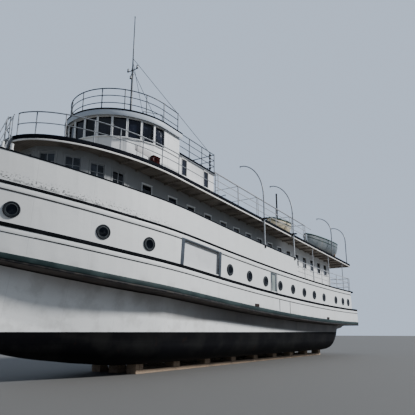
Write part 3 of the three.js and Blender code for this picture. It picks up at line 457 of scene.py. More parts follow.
class Finish:
    """A material whose nodes are made by calls"""

    def __init__(self, name, metallic=0.0, roughness=0.5, specular=0.5):
        self.material = bpy.data.materials.new(name)
        self.material.use_nodes = True
        self.tree = self.material.node_tree
        self.shader = self.tree.nodes["Principled BSDF"]
        self.shader.inputs["Metallic"].default_value = metallic
        self.shader.inputs["Roughness"].default_value = roughness
        self.shader.inputs["Specular IOR Level"].default_value = specular
        self.place = self.node("ShaderNodeTexCoord").outputs["Object"]

    def node(self, kind, settings=None, inputs=None):
        made = self.tree.nodes.new(kind)
        for key, value in (settings or {}).items():
            setattr(made, key, value)
        for key, value in (inputs or {}).items():
            self.feed(made.inputs[key], value)
        return made

    def feed(self, socket, value):
        if isinstance(value, Value):
            value = value.socket
        if isinstance(value, bpy.types.NodeSocket):
            self.tree.links.new(value, socket)
        else:
            socket.default_value = value

    def maths(self, operation, first, second=0.0):
        made = self.node("ShaderNodeMath", {"operation": operation}, {0: first, 1: second})
        return Value(self, made.outputs[0])

    def along(self):
        """The place on the surface as three numbers"""
        made = self.node("ShaderNodeSeparateXYZ", inputs={0: self.place})
        return [Value(self, output) for output in made.outputs]

    def stretched(self, stretch):
        made = self.node("ShaderNodeVectorMath", {"operation": "MULTIPLY"}, {0: self.place, 1: stretch})
        return made.outputs[0]

    def noise(self, scale, detail=4.0, stretch=(1, 1, 1), roughness=0.55):
        place = self.stretched(stretch)
        inputs = {"Vector": place, "Scale": scale, "Detail": detail, "Roughness": roughness}
        return Value(self, self.node("ShaderNodeTexNoise", inputs=inputs).outputs[0])

    def rise(self, value, start, end, low=0.0, high=1.0):
        """Goes smoothly from low to high while the value goes from start to end"""
        made = self.node(
            "ShaderNodeMapRange",
            {"interpolation_type": "SMOOTHSTEP"},
            {"Value": value, "From Min": start, "From Max": end, "To Min": low, "To Max": high},
        )
        return Value(self, made.outputs[0])

    def saw(self, value, pitch):
        """Runs from 0 to 1 again and again, once in each pitch"""
        return self.maths("FRACT", value / pitch)

    def groove(self, value, pitch, width):
        """1 in a narrow groove once in each pitch, and 0 elsewhere"""
        edge = self.maths("ABSOLUTE", self.saw(value, pitch) - 0.5)
        return self.rise(edge, 0.5 - width / pitch, 0.5 - width / pitch / 2)

    def blend(self, share, first, second):
        """A mix of two colours, which are inputs 6 and 7 of the node, with output 2 as the result"""
        made = self.node("ShaderNodeMix", {"data_type": "RGBA"}, {0: share})
        for index, colour in ((6, first), (7, second)):
            self.feed(made.inputs[index], (*colour, 1.0) if isinstance(colour, tuple) else colour)
        return made.outputs[2]

    def relief(self, height, strength, distance=0.01):
        inputs = {"Strength": strength, "Distance": distance, "Height": height}
        self.feed(self.shader.inputs["Normal"], self.node("ShaderNodeBump", inputs=inputs).outputs[0])

    def done(self, colour, roughness=None):
        self.feed(self.shader.inputs["Base Color"], colour)
        if roughness is not None:
            self.feed(self.shader.inputs["Roughness"], roughness)
        return self.material


WHITE = (0.70, 0.71, 0.70)
WHITE_WORN = (0.56, 0.57, 0.56)
GRIME = (0.20, 0.18, 0.15)
RUST = (0.23, 0.09, 0.035)
PLATE_LENGTH = 1.83
PLATE_HEIGHT = 0.62


def sheer_height(finish):
    """Place along the ship, and height above the sheer"""
    x, _, z = finish.along()
    aft = x - STERN_X
    bow = finish.maths("MAXIMUM", (x - SHEER_BOW_START) / (STEM_X - SHEER_BOW_START), 0.0)
    return x, z - (aft * aft * SHEER_CURVE + bow**1.5 * SHEER_BOW_RISE + SHEER_AFT)


def hull_white():
    """Old white topside paint: faint chalky patches and runs of dirt, grime along the upper stripe
    near the bow; painted shade with a brown stain just below the guard, painted light from the
    ground lower on the hull, and deep painted shade below the guard towards the stern"""
    finish = Finish("hull_white", roughness=0.5, specular=0.3)
    x, height = sheer_height(finish)
    patches = finish.rise(finish.noise(0.45, 6), 0.36, 0.70)
    mottle = finish.rise(finish.noise(2.6, 7, (1.0, 1.0, 1.8)), 0.40, 0.72)
    runs = finish.rise(finish.noise(3.0, 7, (1.0, 1.0, 0.10)), 0.52, 0.80)
    specks = finish.rise(finish.noise(15.0, 6, (1.0, 1.0, 1.2)), 0.54, 0.60)
    smears = finish.rise(finish.noise(2.2, 8, (1.0, 1.0, 3.0)), 0.46, 0.60)
    grime_band = finish.rise(height, 2.40, 2.68, 1.0, 0.0) * finish.rise(height, 2.33, 2.36)
    smear_band = finish.rise(height, 2.36, 2.46, 1.0, 0.0) * finish.rise(height, 2.33, 2.34)
    # Painted shade just below the guard, where its shadow falls, tinted with a brown stain
    shade_and_stain_under_guard = finish.rise(height, -1.15, -0.25) * finish.rise(height, -0.22, -0.20, 1.0, 0.0)
    # Painted light: the hull is lighter low down, as if lit from the ground
    below = finish.rise(height, -0.60, -0.22, 1.0, 0.0)
    # Painted shade below the guard towards the stern, reaching down to the edge of the guard's shadow
    aft_shade_height = height + finish.rise(x, 2.0, 7.0) * 0.28
    aft_shade_edge = finish.rise(aft_shade_height, -0.86, -0.70) * finish.rise(height, -0.22, -0.20, 1.0, 0.0)
    aft_shade = aft_shade_edge * finish.rise(x, 1.0, 11.0, 1.0, 0.0)
    bow_end = finish.rise(x, 6.5, 9.5) * finish.rise(finish.noise(0.9, 4), 0.30, 0.50)
    low_dirt = finish.rise(height, 0.06, 0.34, 1.0, 0.0) * finish.rise(finish.noise(1.6, 6), 0.44, 0.64)
    seams = finish.groove(x, PLATE_LENGTH, 0.012) * 0.5
    base = finish.blend(patches * 0.35, WHITE, WHITE_WORN)
    base = finish.blend(mottle * 0.16, base, (0.50, 0.52, 0.54))
    base = finish.blend(runs * 0.22, base, (0.42, 0.42, 0.40))
    # Painted light low on the hull
    base = finish.blend(below * 0.8, base, (0.80, 0.81, 0.80))
    # Painted shade with a brown stain just below the guard
    base = finish.blend(shade_and_stain_under_guard * (patches * 0.35 + 0.35), base, (0.36, 0.33, 0.31))
    # Deep painted shade below the guard towards the stern
    base = finish.blend(aft_shade * 0.94, base, (0.085, 0.078, 0.074))
    base = finish.blend(specks * (grime_band * bow_end * 0.95 + 0.02), base, (0.035, 0.035, 0.035))
    base = finish.blend(smears * smear_band * bow_end * 0.7, base, (0.06, 0.06, 0.06))
    base = finish.blend(low_dirt * 0.22, base, GRIME)
    base = finish.blend(seams * 0.3, base, (0.34, 0.34, 0.33))
    buckle = finish.noise(0.9, 2) * 0.8 + finish.noise(14.0, 3) * 0.06 - seams * 0.4
    finish.relief(buckle, 0.25, 0.03)
    return finish.done(base, roughness=patches * 0.15 + runs * 0.2 + 0.42)


def house_white(name, colour, worn, painted_shade=None):
    """White of the upper works, with vertical seams and faint runs; a painted shade colour, when given,
    darkens the wall forward under the boat deck
    """
    finish = Finish(name, roughness=0.48, specular=0.3)
    x, _, _ = finish.along()
    patches = finish.rise(finish.noise(1.1, 5), 0.42, 0.68)
    runs = finish.rise(finish.noise(3.5, 6, (1.0, 1.0, 0.10)), 0.55, 0.78)
    seams = finish.groove(x, 0.61, 0.010)
    base = finish.blend(patches * 0.4, colour, worn)
    if painted_shade:
        # Painted shade: the wall under the boat deck is darker forward
        base = finish.blend(finish.rise(x, -5.2, -3.6), base, painted_shade)
    base = finish.blend(runs * 0.4, base, (0.44, 0.43, 0.40))
    base = finish.blend(seams * 0.3, base, (0.36, 0.36, 0.36))
    finish.relief(finish.noise(12.0, 3) * 0.08 + finish.noise(1.6, 2) * 0.5 - seams * 0.4, 0.25, 0.02)
    return finish.done(base, roughness=patches * 0.14 + 0.42)


def trim_white():
    finish = Finish("trim_white", roughness=0.45)
    wear = finish.rise(finish.noise(5.0, 6), 0.52, 0.72)
    base = finish.blend(wear * 0.5, (0.76, 0.77, 0.77), (0.55, 0.54, 0.51))
    finish.relief(finish.noise(25.0, 3), 0.1, 0.004)
    return finish.done(base, roughness=wear * 0.2 + 0.4)


def chipped_paint(name, colour, faded, chipped, roughness=0.45, chips=0.3, shine=0.12):
    """Paint that is faded in patches and chipped to what is below it"""
    finish = Finish(name, roughness=roughness, specular=shine)
    fade = finish.rise(finish.noise(1.4, 5), 0.40, 0.68)
    chip = finish.rise(finish.noise(11.0, 7, (1, 1, 1.4)), 0.66, 0.70)
    base = finish.blend(fade, colour, faded)
    base = finish.blend(chip * chips, base, chipped)
    finish.relief(finish.noise(30.0, 4) * 0.3 - chip * 0.5, 0.2, 0.004)
    return finish.done(base, roughness=fade * 0.18 + roughness - 0.05)


def bottom_paint():
    """Black bottom paint with rust bleeding along the plate laps"""
    finish = Finish("bottom_paint", roughness=0.8, specular=0.05)
    x, _, z = finish.along()
    patches = finish.rise(finish.noise(0.8, 6), 0.42, 0.66)
    rust = finish.rise(finish.noise(2.6, 8, (1, 1, 0.5)), 0.60, 0.72)
    laps = finish.groove(x, PLATE_LENGTH, 0.02) + finish.groove(z, PLATE_HEIGHT, 0.02)
    base = finish.blend(patches, (0.003, 0.003, 0.004), (0.009, 0.009, 0.009))
    base = finish.blend(rust * 0.18, base, (0.05, 0.022, 0.012))
    finish.relief(finish.noise(9.0, 5) * 0.3 + laps * 0.5, 0.3, 0.012)
    return finish.done(base, roughness=rust * 0.15 + 0.6)


def under_paint():
    """Brown-grey paint of the undersides, in strips between beams"""
    finish = Finish("under_paint", roughness=0.75)
    _, y, _ = finish.along()
    boards = finish.groove(y, 0.14, 0.012)
    stain = finish.rise(finish.noise(1.2, 6), 0.42, 0.68)
    rust = finish.rise(finish.noise(3.1, 7), 0.62, 0.74)
    base = finish.blend(stain, (0.24, 0.21, 0.18), (0.12, 0.10, 0.085))
    base = finish.blend(rust * 0.6, base, (0.19, 0.085, 0.045))
    base = finish.blend(boards * 0.6, base, (0.06, 0.05, 0.045))
    finish.relief(finish.noise(18.0, 4) * 0.2 - boards * 0.7, 0.3, 0.008)
    return finish.done(base, roughness=stain * 0.1 + 0.68)


def guard_under_paint():
    finish = Finish("guard_under_paint", roughness=0.8)
    stain = finish.rise(finish.noise(1.0, 6), 0.40, 0.66)
    rust = finish.rise(finish.noise(4.0, 7), 0.58, 0.72)
    # Dark brown underside of the guard: partly painted shade warmed as by light from the ground, and partly
    # rust-brown stain
    base = finish.blend(stain, (0.085, 0.070, 0.062), (0.045, 0.038, 0.036))
    base = finish.blend(rust * 0.5, base, (0.12, 0.055, 0.03))
    finish.relief(finish.noise(14.0, 5), 0.3, 0.008)
    return finish.done(base)


def deck_wood(name, colour, grey, plank=0.125):
    """Planks laid fore and aft, payed with black between them, with staggered butts"""
    finish = Finish(name, roughness=0.7)
    x, y, _ = finish.along()
    row = finish.maths("FLOOR", y / plank)
    shade = finish.maths("FRACT", finish.maths("SINE", row * 12.9898) * 43758.5)
    seam = finish.groove(y, plank, 0.008)
    butt = finish.groove(x + shade * 3.7, 3.7, 0.010)
    grain = finish.noise(7.0, 6, (0.35, 9.0, 9.0))
    wear = finish.rise(finish.noise(0.8, 5), 0.38, 0.68)
    base = finish.blend(shade * 0.6 + grain * 0.4, colour, grey)
    base = finish.blend(wear * 0.5, base, (0.30, 0.29, 0.27))
    base = finish.blend((seam + butt) * 0.85, base, (0.03, 0.03, 0.03))
    finish.relief(grain * 0.3 - (seam + butt) * 0.8, 0.35, 0.006)
    return finish.done(base, roughness=wear * 0.12 + 0.62)


def rough_timber():
    finish = Finish("rough_timber", roughness=0.85)
    grain = finish.noise(6.0, 8, (1.0, 8.0, 8.0), 0.65)
    checks = finish.rise(finish.noise(4.0, 7, (0.6, 14.0, 14.0)), 0.60, 0.66)
    damp = finish.rise(finish.noise(1.1, 4), 0.45, 0.65)
    base = finish.blend(grain, (0.20, 0.135, 0.085), (0.36, 0.27, 0.19))
    base = finish.blend(damp * 0.5, base, (0.11, 0.085, 0.065))
    base = finish.blend(checks * 0.8, base, (0.035, 0.025, 0.02))
    finish.relief(grain * 0.6 - checks * 0.8, 0.6, 0.012)
    return finish.done(base)


def pipe_paint(name, colour, worn, low=None):
    """Painted pipe, dull, with small rust spots; the part below the boat deck may have its own colour"""
    finish = Finish(name, roughness=0.45)
    wear = finish.rise(finish.noise(6.0, 5), 0.48, 0.70)
    rust = finish.rise(finish.noise(16.0, 5), 0.68, 0.74)
    base = finish.blend(wear, colour, worn)
    if low:
        x, _, z = finish.along()
        deck = (x - DECK_NOSE) * DECK_SLOPE + DECK_NOSE_Z
        base = finish.blend(finish.rise(z - deck, -0.10, 0.02, 1.0, 0.0), base, low)
    base = finish.blend(rust * 0.5, base, RUST)
    finish.relief(finish.noise(40.0, 3), 0.12, 0.003)
    return finish.done(base, roughness=wear * 0.2 + 0.38)


def dark_glass(name, shine, room_colour):
    """Glass with a dark room behind it"""
    finish = Finish(name, roughness=0.06, specular=shine)
    room = finish.rise(finish.noise(1.7, 3), 0.35, 0.7)
    dust = finish.rise(finish.noise(9.0, 6), 0.50, 0.72)
    base = finish.blend(room, (0.003, 0.004, 0.006), room_colour)
    base = finish.blend(dust * 0.06, base, (0.20, 0.22, 0.24))
    return finish.done(base, roughness=dust * 0.14 + 0.05)


def cast_metal(name, colour, worn, roughness=0.5, metallic=0.7):
    finish = Finish(name, metallic=metallic, roughness=roughness, specular=0.15)
    wear = finish.rise(finish.noise(5.0, 6), 0.42, 0.68)
    base = finish.blend(wear, colour, worn)
    finish.relief(finish.noise(35.0, 5), 0.25, 0.004)
    return finish.done(base, roughness=wear * 0.25 + roughness - 0.1)


def boat_paint(name, colour, faded):
    """Boat's planking under paint: laps run fore and aft"""
    finish = Finish(name, roughness=0.5)
    _, _, z = finish.along()
    laps = finish.groove(z, 0.11, 0.008)
    fade = finish.rise(finish.noise(1.8, 6), 0.40, 0.66)
    stain = finish.rise(finish.noise(3.0, 7, (1, 1, 0.3)), 0.56, 0.74)
    base = finish.blend(fade, colour, faded)
    base = finish.blend(stain * 0.4, base, (0.22, 0.20, 0.17))
    base = finish.blend(laps * 0.4, base, (0.15, 0.14, 0.12))
    finish.relief(finish.noise(20.0, 3) * 0.1 - laps * 0.6, 0.4, 0.008)
    return finish.done(base, roughness=fade * 0.15 + 0.42)


def lamp_glass(name, colour):
    finish = Finish(name, roughness=0.35, specular=0.2)
    ribs = finish.groove(finish.along()[2], 0.016, 0.004)
    base = finish.blend(ribs * 0.6, colour, tuple(part * 0.4 for part in colour))
    finish.relief(ribs, 0.5, 0.003)
    return finish.done(base)


RECIPES = {
    house_white: {
        # colour, worn colour, and colour of the painted shade forward under the boat deck
        "house_white": ((0.74, 0.75, 0.75), (0.62, 0.63, 0.63)),
        "cabin_white": ((0.70, 0.71, 0.71), (0.58, 0.59, 0.59), (0.27, 0.275, 0.275)),
    },
    chipped_paint: {
        # colour, faded colour, colour below the chips, roughness, share of the chips, and shine
        "strip_white": ((0.74, 0.73, 0.70), (0.62, 0.60, 0.56), (0.22, 0.15, 0.10), 0.6, 0.25),
        "door_grey": ((0.60, 0.61, 0.62), (0.53, 0.54, 0.55), (0.25, 0.24, 0.22), 0.55),
        "fascia_blue": ((0.47, 0.52, 0.58), (0.54, 0.58, 0.62), (0.32, 0.32, 0.32), 0.5),
        "stripe_black": ((0.004, 0.005, 0.006), (0.010, 0.011, 0.013), (0.08, 0.08, 0.08), 0.75, 0.15, 0.02),
        "roof_black": ((0.004, 0.005, 0.008), (0.010, 0.012, 0.016), (0.05, 0.05, 0.05), 0.75, 0.15, 0.02),
        "guard_green": ((0.014, 0.026, 0.027), (0.030, 0.048, 0.048), (0.06, 0.04, 0.035), 0.55, 0.5),
        "line_black": ((0.020, 0.021, 0.023), (0.06, 0.06, 0.06), (0.30, 0.29, 0.28), 0.6),
        "sash_grey": ((0.34, 0.35, 0.36), (0.26, 0.27, 0.28), (0.20, 0.18, 0.15), 0.55),
        "line_grey": ((0.10, 0.10, 0.10), (0.17, 0.17, 0.165), (0.35, 0.34, 0.32), 0.6),
        # Dark blue-grey of the gangway's jambs, also used as painted shadow on the side doors' leaves
        "jamb_grey": ((0.048, 0.058, 0.072), (0.08, 0.092, 0.110), (0.25, 0.24, 0.22), 0.7, 0.3, 0.04),
        "door_green": ((0.17, 0.205, 0.20), (0.25, 0.285, 0.275), (0.16, 0.13, 0.10), 0.55),
        "scupper_brown": ((0.022, 0.012, 0.010), (0.045, 0.024, 0.020), (0.02, 0.015, 0.012), 0.6),
        "gunwale_green": ((0.025, 0.055, 0.045), (0.05, 0.08, 0.07), (0.25, 0.22, 0.18)),
        "screen_grey": ((0.42, 0.41, 0.41), (0.52, 0.51, 0.50), (0.25, 0.18, 0.14), 0.55),
        "screen_red": ((0.020, 0.004, 0.004), (0.034, 0.007, 0.006), (0.02, 0.01, 0.01), 0.7, 0.3, 0.02),
        "screen_green": ((0.008, 0.040, 0.020), (0.018, 0.075, 0.040), (0.01, 0.02, 0.01), 0.55),
    },
    deck_wood: {
        # colour, weathered colour, and width of a plank
        "deck_planks": ((0.40, 0.35, 0.28), (0.27, 0.26, 0.24)),
        "boat_wood": ((0.42, 0.28, 0.16), (0.34, 0.26, 0.18), 0.20),
    },
    pipe_paint: {
        # colour, worn colour, and colour below the boat deck
        "rail_dark": ((0.045, 0.052, 0.062), (0.09, 0.095, 0.10)),
        "rail_grey": ((0.20, 0.215, 0.235), (0.12, 0.13, 0.15)),
        "rail_pale": ((0.42, 0.43, 0.45), (0.28, 0.29, 0.31)),
        "mast_grey": ((0.07, 0.078, 0.088), (0.11, 0.115, 0.12)),
        "davit_grey": ((0.26, 0.275, 0.30), (0.17, 0.18, 0.20), (0.46, 0.48, 0.50)),
    },
    dark_glass: {
        # shine, and colour of the room behind the glass
        "dark_glass": (0.3, (0.012, 0.015, 0.028)),
        "hazy_glass": (0.3, (0.060, 0.072, 0.090)),
        "port_glass": (0.04, (0.004, 0.006, 0.010)),
    },
    cast_metal: {
        # colour, worn colour, roughness, and how metallic it is
        "ring_metal": ((0.007, 0.010, 0.014), (0.018, 0.023, 0.029), 0.6, 0.0),
        "ring_grey": ((0.030, 0.037, 0.042), (0.065, 0.075, 0.080), 0.55, 0.0),
        "black_iron": ((0.018, 0.018, 0.02), (0.06, 0.055, 0.05), 0.6, 0.5),
        "bronze": ((0.38, 0.24, 0.10), (0.20, 0.19, 0.13), 0.4, 0.9),
    },
    boat_paint: {
        # colour, and faded colour
        "boat_cream": ((0.66, 0.58, 0.40), (0.55, 0.50, 0.38)),
        "boat_grey": ((0.085, 0.110, 0.125), (0.15, 0.175, 0.19)),
    },
    lamp_glass: {
        "lamp_red": ((0.045, 0.004, 0.004),),
        "lamp_green": ((0.006, 0.08, 0.03),),
        "lamp_clear": ((0.55, 0.57, 0.58),),
    },
}
SINGLE_PAINTS = (hull_white, trim_white, bottom_paint, under_paint, guard_under_paint, rough_timber)

PAINT = {paint.__name__: paint() for paint in SINGLE_PAINTS}
for recipe, rows in RECIPES.items():
    for name, values in rows.items():
        PAINT[name] = recipe(name, *values)


# Hull, guard and main-deck walls

KEEL_Z = 0.37
BOOT_TOP_Z = 1.6
HULL_STATIONS = [
    # x, keel height, half-breadths of the flat bottom, the side and the top, and height of the bilge
    (-15.35, 1.9, 1.7, 2.0, 2.15, 0.12),
    (-13.95, 1.68, 1.65, 2.1, 2.25, 0.3),
    (-13.25, 0.9, 1.5, 2.2, 2.3, 0.6),
    (-12.4, 0.4, 1.4, 2.25, 2.35, 0.7),
    (-11.7, KEEL_Z, 1.4, 2.25, 2.35, 0.7),
    (6.7, KEEL_Z, 1.25, 2.2, 2.35, 0.75),
    (8.0, KEEL_Z, 0.95, 1.95, 2.15, 0.8),
    (10.1, 0.56, 0.5, 1.35, 1.65, 0.9),
    (12.1, 0.85, 0.18, 0.65, 1.0, 1.0),
    (13.5, 1.3, 0.07, 0.25, 0.48, 1.0),
    (14.5, 2.2, 0.04, 0.09, 0.17, 0.7),
    (14.95, 3.0, 0.03, 0.05, 0.08, 0.5),
]
HULL_STEPS = 150
SECTION_STEPS = 40
FLAT_SHARE = 0.12
BILGE_SHARE = 0.60
SIDE_SHARE = 0.96


def eased(rows, x, column):
    """A smooth curve through a column of a table, which never overshoots it"""
    slopes = [
        (after[column] - before[column]) / (after[0] - before[0]) for before, after in zip(rows, rows[1:])
    ]
    leans = [slopes[0]]
    for before, after in zip(slopes, slopes[1:]):
        leans.append(2 * before * after / (before + after) if before * after > 0 else 0.0)
    leans.append(slopes[-1])
    bay = max(index for index, row in enumerate(rows[:-1]) if row[0] <= x or index == 0)
    low, high = rows[bay], rows[bay + 1]
    length = high[0] - low[0]
    share = min(1.0, max(0.0, (x - low[0]) / length))
    rest = 1 - share
    ends = low[column] * (1 + 2 * share) * rest**2 + high[column] * (3 - 2 * share) * share**2
    return ends + length * share * rest * (leans[bay] * rest - leans[bay + 1] * share)


def hull_point(x, turn):
    """A point round the hull's section: turn runs from 0 at the keel to 1 on the centreline of the top"""
    keel, flat, side, top, bilge = (eased(HULL_STATIONS, x, column) for column in range(1, 6))
    high = deck_z(x, STRAKE_LOW)
    if turn < FLAT_SHARE:
        return Vector((x, flat * turn / FLAT_SHARE, keel))
    if turn < BILGE_SHARE:
        angle = math.radians(90) * (turn - FLAT_SHARE) / (BILGE_SHARE - FLAT_SHARE)
        return Vector((x, flat + (side - flat) * math.sin(angle), keel + bilge * (1 - math.cos(angle))))
    if turn <= SIDE_SHARE:
        share = (turn - BILGE_SHARE) / (SIDE_SHARE - BILGE_SHARE)
        low = keel + bilge
        return Vector((x, side + (top - side) * share, low + (high - low) * share))
    return Vector((x, top * (1 - turn) / (1 - SIDE_SHARE), high))


def whole_hull(name):
    piece = start_with("grid", name, x_subdivisions=HULL_STEPS, y_subdivisions=2 * SECTION_STEPS, size=2)
    aft, fore = HULL_STATIONS[0][0], HULL_STATIONS[-1][0]
    for vertex in piece.data.vertices:
        x = aft + (fore - aft) * (vertex.co.x + 1) / 2
        point = hull_point(x, min(1.0, abs(vertex.co.y)))
        vertex.co = Vector((point.x, math.copysign(point.y, vertex.co.y), point.z))
    with shaping(piece, "VERT"):
        bpy.ops.mesh.select_all(action="SELECT")
        bpy.ops.mesh.remove_doubles(threshold=0.0001)
        for end in (aft, fore):
            pick(piece, "verts", lambda vertex: abs(vertex.co.x - end) < 0.0001)
            bpy.ops.mesh.edge_face_add()
    return facing_out(piece)


SKEG_XS = (-13.6, -11.9)
SKEG_TOP_Z = 1.5
SKEG_HALF_WIDTH = 0.07
SOLE_XS = (-15.15, -13.5)
SOLE_DEPTH = 0.08
SHAFT_Z = 0.95
SHAFT_TUBE_XS = (-12.5, -14.02)
SHAFT_TUBE_RADIUS = 0.12


def stern_frame():
    """Skeg, sole piece and shaft tube, which carry the rudder and the propeller"""
    across = about(0.0, SKEG_HALF_WIDTH)
    fore, aft = ((x, 0, SHAFT_Z) for x in SHAFT_TUBE_XS)
    return [
        smoothed(block("skeg", SKEG_XS, across, (KEEL_Z, SKEG_TOP_Z), bevel=0.02)),
        smoothed(block("sole", SOLE_XS, across, (KEEL_Z, KEEL_Z + SOLE_DEPTH), bevel=0.02)),
        smoothed(rod("shaft_tube", fore, aft, SHAFT_TUBE_RADIUS, 28)),
    ]


def hull():
    """The shell, faired between its stations: black below the boot top and white above"""
    for name, paint, slot, cut in (
        ("hull_bottom", "bottom_paint", "hull_black", {"clear_outer": True}),
        ("hull_topsides", "hull_white", "white_paint", {"clear_inner": True}),
    ):
        piece = whole_hull(f"{name}_shell")
        with shaping(piece):
            bpy.ops.mesh.select_all(action="SELECT")
            bpy.ops.mesh.bisect(plane_co=(0, 0, BOOT_TOP_Z), plane_no=(0, 0, 1), use_fill=True, **cut)
        smoothed(piece, 45)
        if name == "hull_bottom":
            piece = joined([piece] + stern_frame(), f"{name}_shell")
        finished(piece, paint, slot, replaces=[name])


WHITE_PLATING = (
    "main_wall_port", "main_wall_starboard", "main_wall_bow", "main_wall_stern", "stern_bulwark",
    "bulwark_port", "bulwark_starboard", "bulwark_bow",
)
PLANKED_DECKS = {"guard_deck": "stern_deck_planks", "passenger_deck": "passenger_deck_planks"}
PLANK_SKIN = 0.004
UNDER_SKIN = 0.006


def plating():
    """The walls and bulwarks with their facets shaded as one, and the decks with their planks"""
    for node in WHITE_PLATING:
        smooth_copy(node, "hull_white", "white_paint")
    smooth_copy("guard_deck", "guard_green", "guard_green")
    smooth_copy("passenger_deck", "stripe_black", "deck_planks")
    # A dark sheet on the guard's underside, partly painted shade
    under = skin("guard_deck", "guard_underside", lambda face: face.normal.z < -0.9, UNDER_SKIN)
    finished(under, "guard_under_paint", "timber")
    for node, name in PLANKED_DECKS.items():
        planks = skin(node, name, lambda face: face.normal.z > 0.9, PLANK_SKIN)
        finished(planks, "deck_planks", "deck_planks")


STRIPE_PROUD = 0.02
LOWER_STRIPE_HEIGHT = 0.135
UPPER_STRIPE_HEIGHT = 0.085
BAND_PROUD = 0.009
BAND_HEIGHT = 0.17
LINE_PROUD = 0.014
LINE_HEIGHT = 0.042
LINE_DROP = 0.24
UPPER_BAND_AFT = -14.45


def side_bar(name, aft, height, thickness, bar_height, paint, slot, proud=0.0):
    """A moulding along both sides, from its aft end to the stem"""
    runs = both_sides([side_run(aft, STEM_X, height, proud)])
    return finished(moulding(name, runs, thickness, bar_height), paint, slot)


def stripes():
    """Rub strips along the side: two black ones, each with a raised white band and, along the band's
    lower edge, a thin black line of painted shadow
    """
    for name, height, stripe, black_aft, white_aft in (
        ("lower", LOWER_STRIPE, LOWER_STRIPE_HEIGHT, STERN_X, STERN_X),
        ("upper", UPPER_STRIPE, UPPER_STRIPE_HEIGHT, DECK_AFT, UPPER_BAND_AFT),
    ):
        band = height - stripe / 2 - BAND_HEIGHT / 2
        line = height - LINE_DROP
        for part, aft, middle, proud, bar_height, paint, slot in (
            ("black_stripe", black_aft, height, STRIPE_PROUD, stripe, "stripe_black", BLACK_SLOT),
            ("white_band", white_aft, band, BAND_PROUD, BAND_HEIGHT, "hull_white", "white_paint"),
            # A thin black line along the band's lower edge: painted shadow under the raised band
            ("thin_line", white_aft, line, LINE_PROUD, LINE_HEIGHT, "line_black", BLACK_SLOT),
        ):
            side_bar(f"{name}_{part}", aft, middle, 2 * proud, bar_height, paint, slot)


BULWARK_AFT = -4.45
CAP_WIDTH = 0.10
CAP_DEPTH = 0.05
CAP_DROP = 0.018
STERN_CAP_FORE = -14.5
STERN_CAP_INSET = 0.03
STERN_CAP_RISE = 0.015
STEM_BAR_RADIUS = 0.055
STEM_BAR_RISE = 0.04


def guard_strake():
    """A rubbing strake along the guard's edge with a black strip of painted shade below it, caps of the
    bulwarks, and the stem bar
    """
    side_bar("guard_rub_rail", STERN_X, -0.035, 0.05, 0.17, "guard_green", "guard_green")
    # A black strip under the rub rail: painted shade of the rail's lower half
    side_bar("guard_chafing_strip", STERN_X, -0.162, 0.03, 0.07, "black_iron", "guard_green")
    cap = BULWARK_TOP - CAP_DROP
    side_bar("bulwark_cap", BULWARK_AFT, cap, CAP_WIDTH, CAP_DEPTH, "roof_black", BLACK_SLOT, -BULWARK / 2)
    height = STERN_BULWARK_TOP + STERN_CAP_RISE
    corner = side_point(STERN_X, height, -STERN_CAP_INSET)
    port = [
        Vector((STERN_CAP_FORE, corner.y, sheer(STERN_CAP_FORE) + height)),
        Vector((STERN_X + STERN_CAP_INSET, corner.y, corner.z)),
    ]
    starboard = [Vector((point.x, -point.y, point.z)) for point in reversed(port)]
    stern_cap = moulding("stern_bulwark_cap", [port + starboard], CAP_WIDTH, CAP_DEPTH)
    finished(stern_cap, "stripe_black", BLACK_SLOT)
    stem_run = [side_point(STEM_X, STRAKE_LOW), side_point(STEM_X, BULWARK_TOP + STEM_BAR_RISE)]
    stem = pipes("stem_bar", [stem_run], STEM_BAR_RADIUS, 12)
    for vertex in stem.data.vertices:
        vertex.co.y *= 0.8
    finished(stem, "hull_white", "white_paint")


LAP_XS = (-1.86, -3.2)
LAP_RADIUS = 0.020
SCUPPER_XS = (0.74, -9.18)
SCUPPER_HALF_LENGTH = 0.2
SCUPPER_OUT = 0.035
SCUPPER_HEIGHT = 0.14
END_POST_XS = (-4.54, -4.453)
END_POST_YS = (3.07, 3.145)
END_POST_FOOT_X = -4.52
END_POST_HEIGHT = 1.06
LEAD_XS = (13.59, 13.84)
LEAD_PARTS = [
    # name, low and high end above the cap, radius, and share of it at the top
    ("base", 0.0, 0.025, 0.07, 1.0),
    ("drum", 0.02, 0.19, 0.045, 1.15),
    ("cap", 0.185, 0.22, 0.065, 0.7),
]


def side_fittings():
    """Plate laps, scupper boxes on the guard, end posts of the bulwarks and fairleads on the bow bulwarks"""
    laps = [[side_point(x, STRAKE_TOP + 0.01), side_point(x, LOWER_STRIPE - LINE_DROP)] for x in LAP_XS]
    finished(pipes("side_laps", both_sides(laps), LAP_RADIUS, 6), "line_black", "white_paint")
    scuppers, posts, leads = [], [], []
    for side in SIDES:
        for x in SCUPPER_XS:
            place = side_point(x, STRAKE_TOP)
            along = about(place.x, SCUPPER_HALF_LENGTH)
            across = (side * (place.y - 0.01), side * (place.y + SCUPPER_OUT))
            up = (place.z, place.z + SCUPPER_HEIGHT)
            scuppers.append(block(f"scupper_{x}_{side}", along, across, up, bevel=0.008))
        foot = deck_z(END_POST_FOOT_X, PASSENGER_DECK)
        across = [side * y for y in END_POST_YS]
        up = (foot, foot + END_POST_HEIGHT)
        posts.append(block(f"end_post_{side}", END_POST_XS, across, up, bevel=0.01))
        for x in LEAD_XS:
            cap = side_point(frame_at(x, BULWARK_TOP), BULWARK_TOP, -BULWARK / 2)
            z = cap.z + 0.007
            for part, low, high, radius, share in LEAD_PARTS:
                name = f"lead_{part}_{x}_{side}"
                leads.append(upright(name, (cap.x, side * cap.y), z + low, z + high, radius, 20, share))
    finished(joined(scuppers, "scuppers"), "scupper_brown", "iron")
    finished(joined(posts, "bulwark_end_posts"), "trim_white", "white_paint")
    finished(smoothed(joined(leads, "bow_fairleads"), 40), "trim_white", "white_paint")


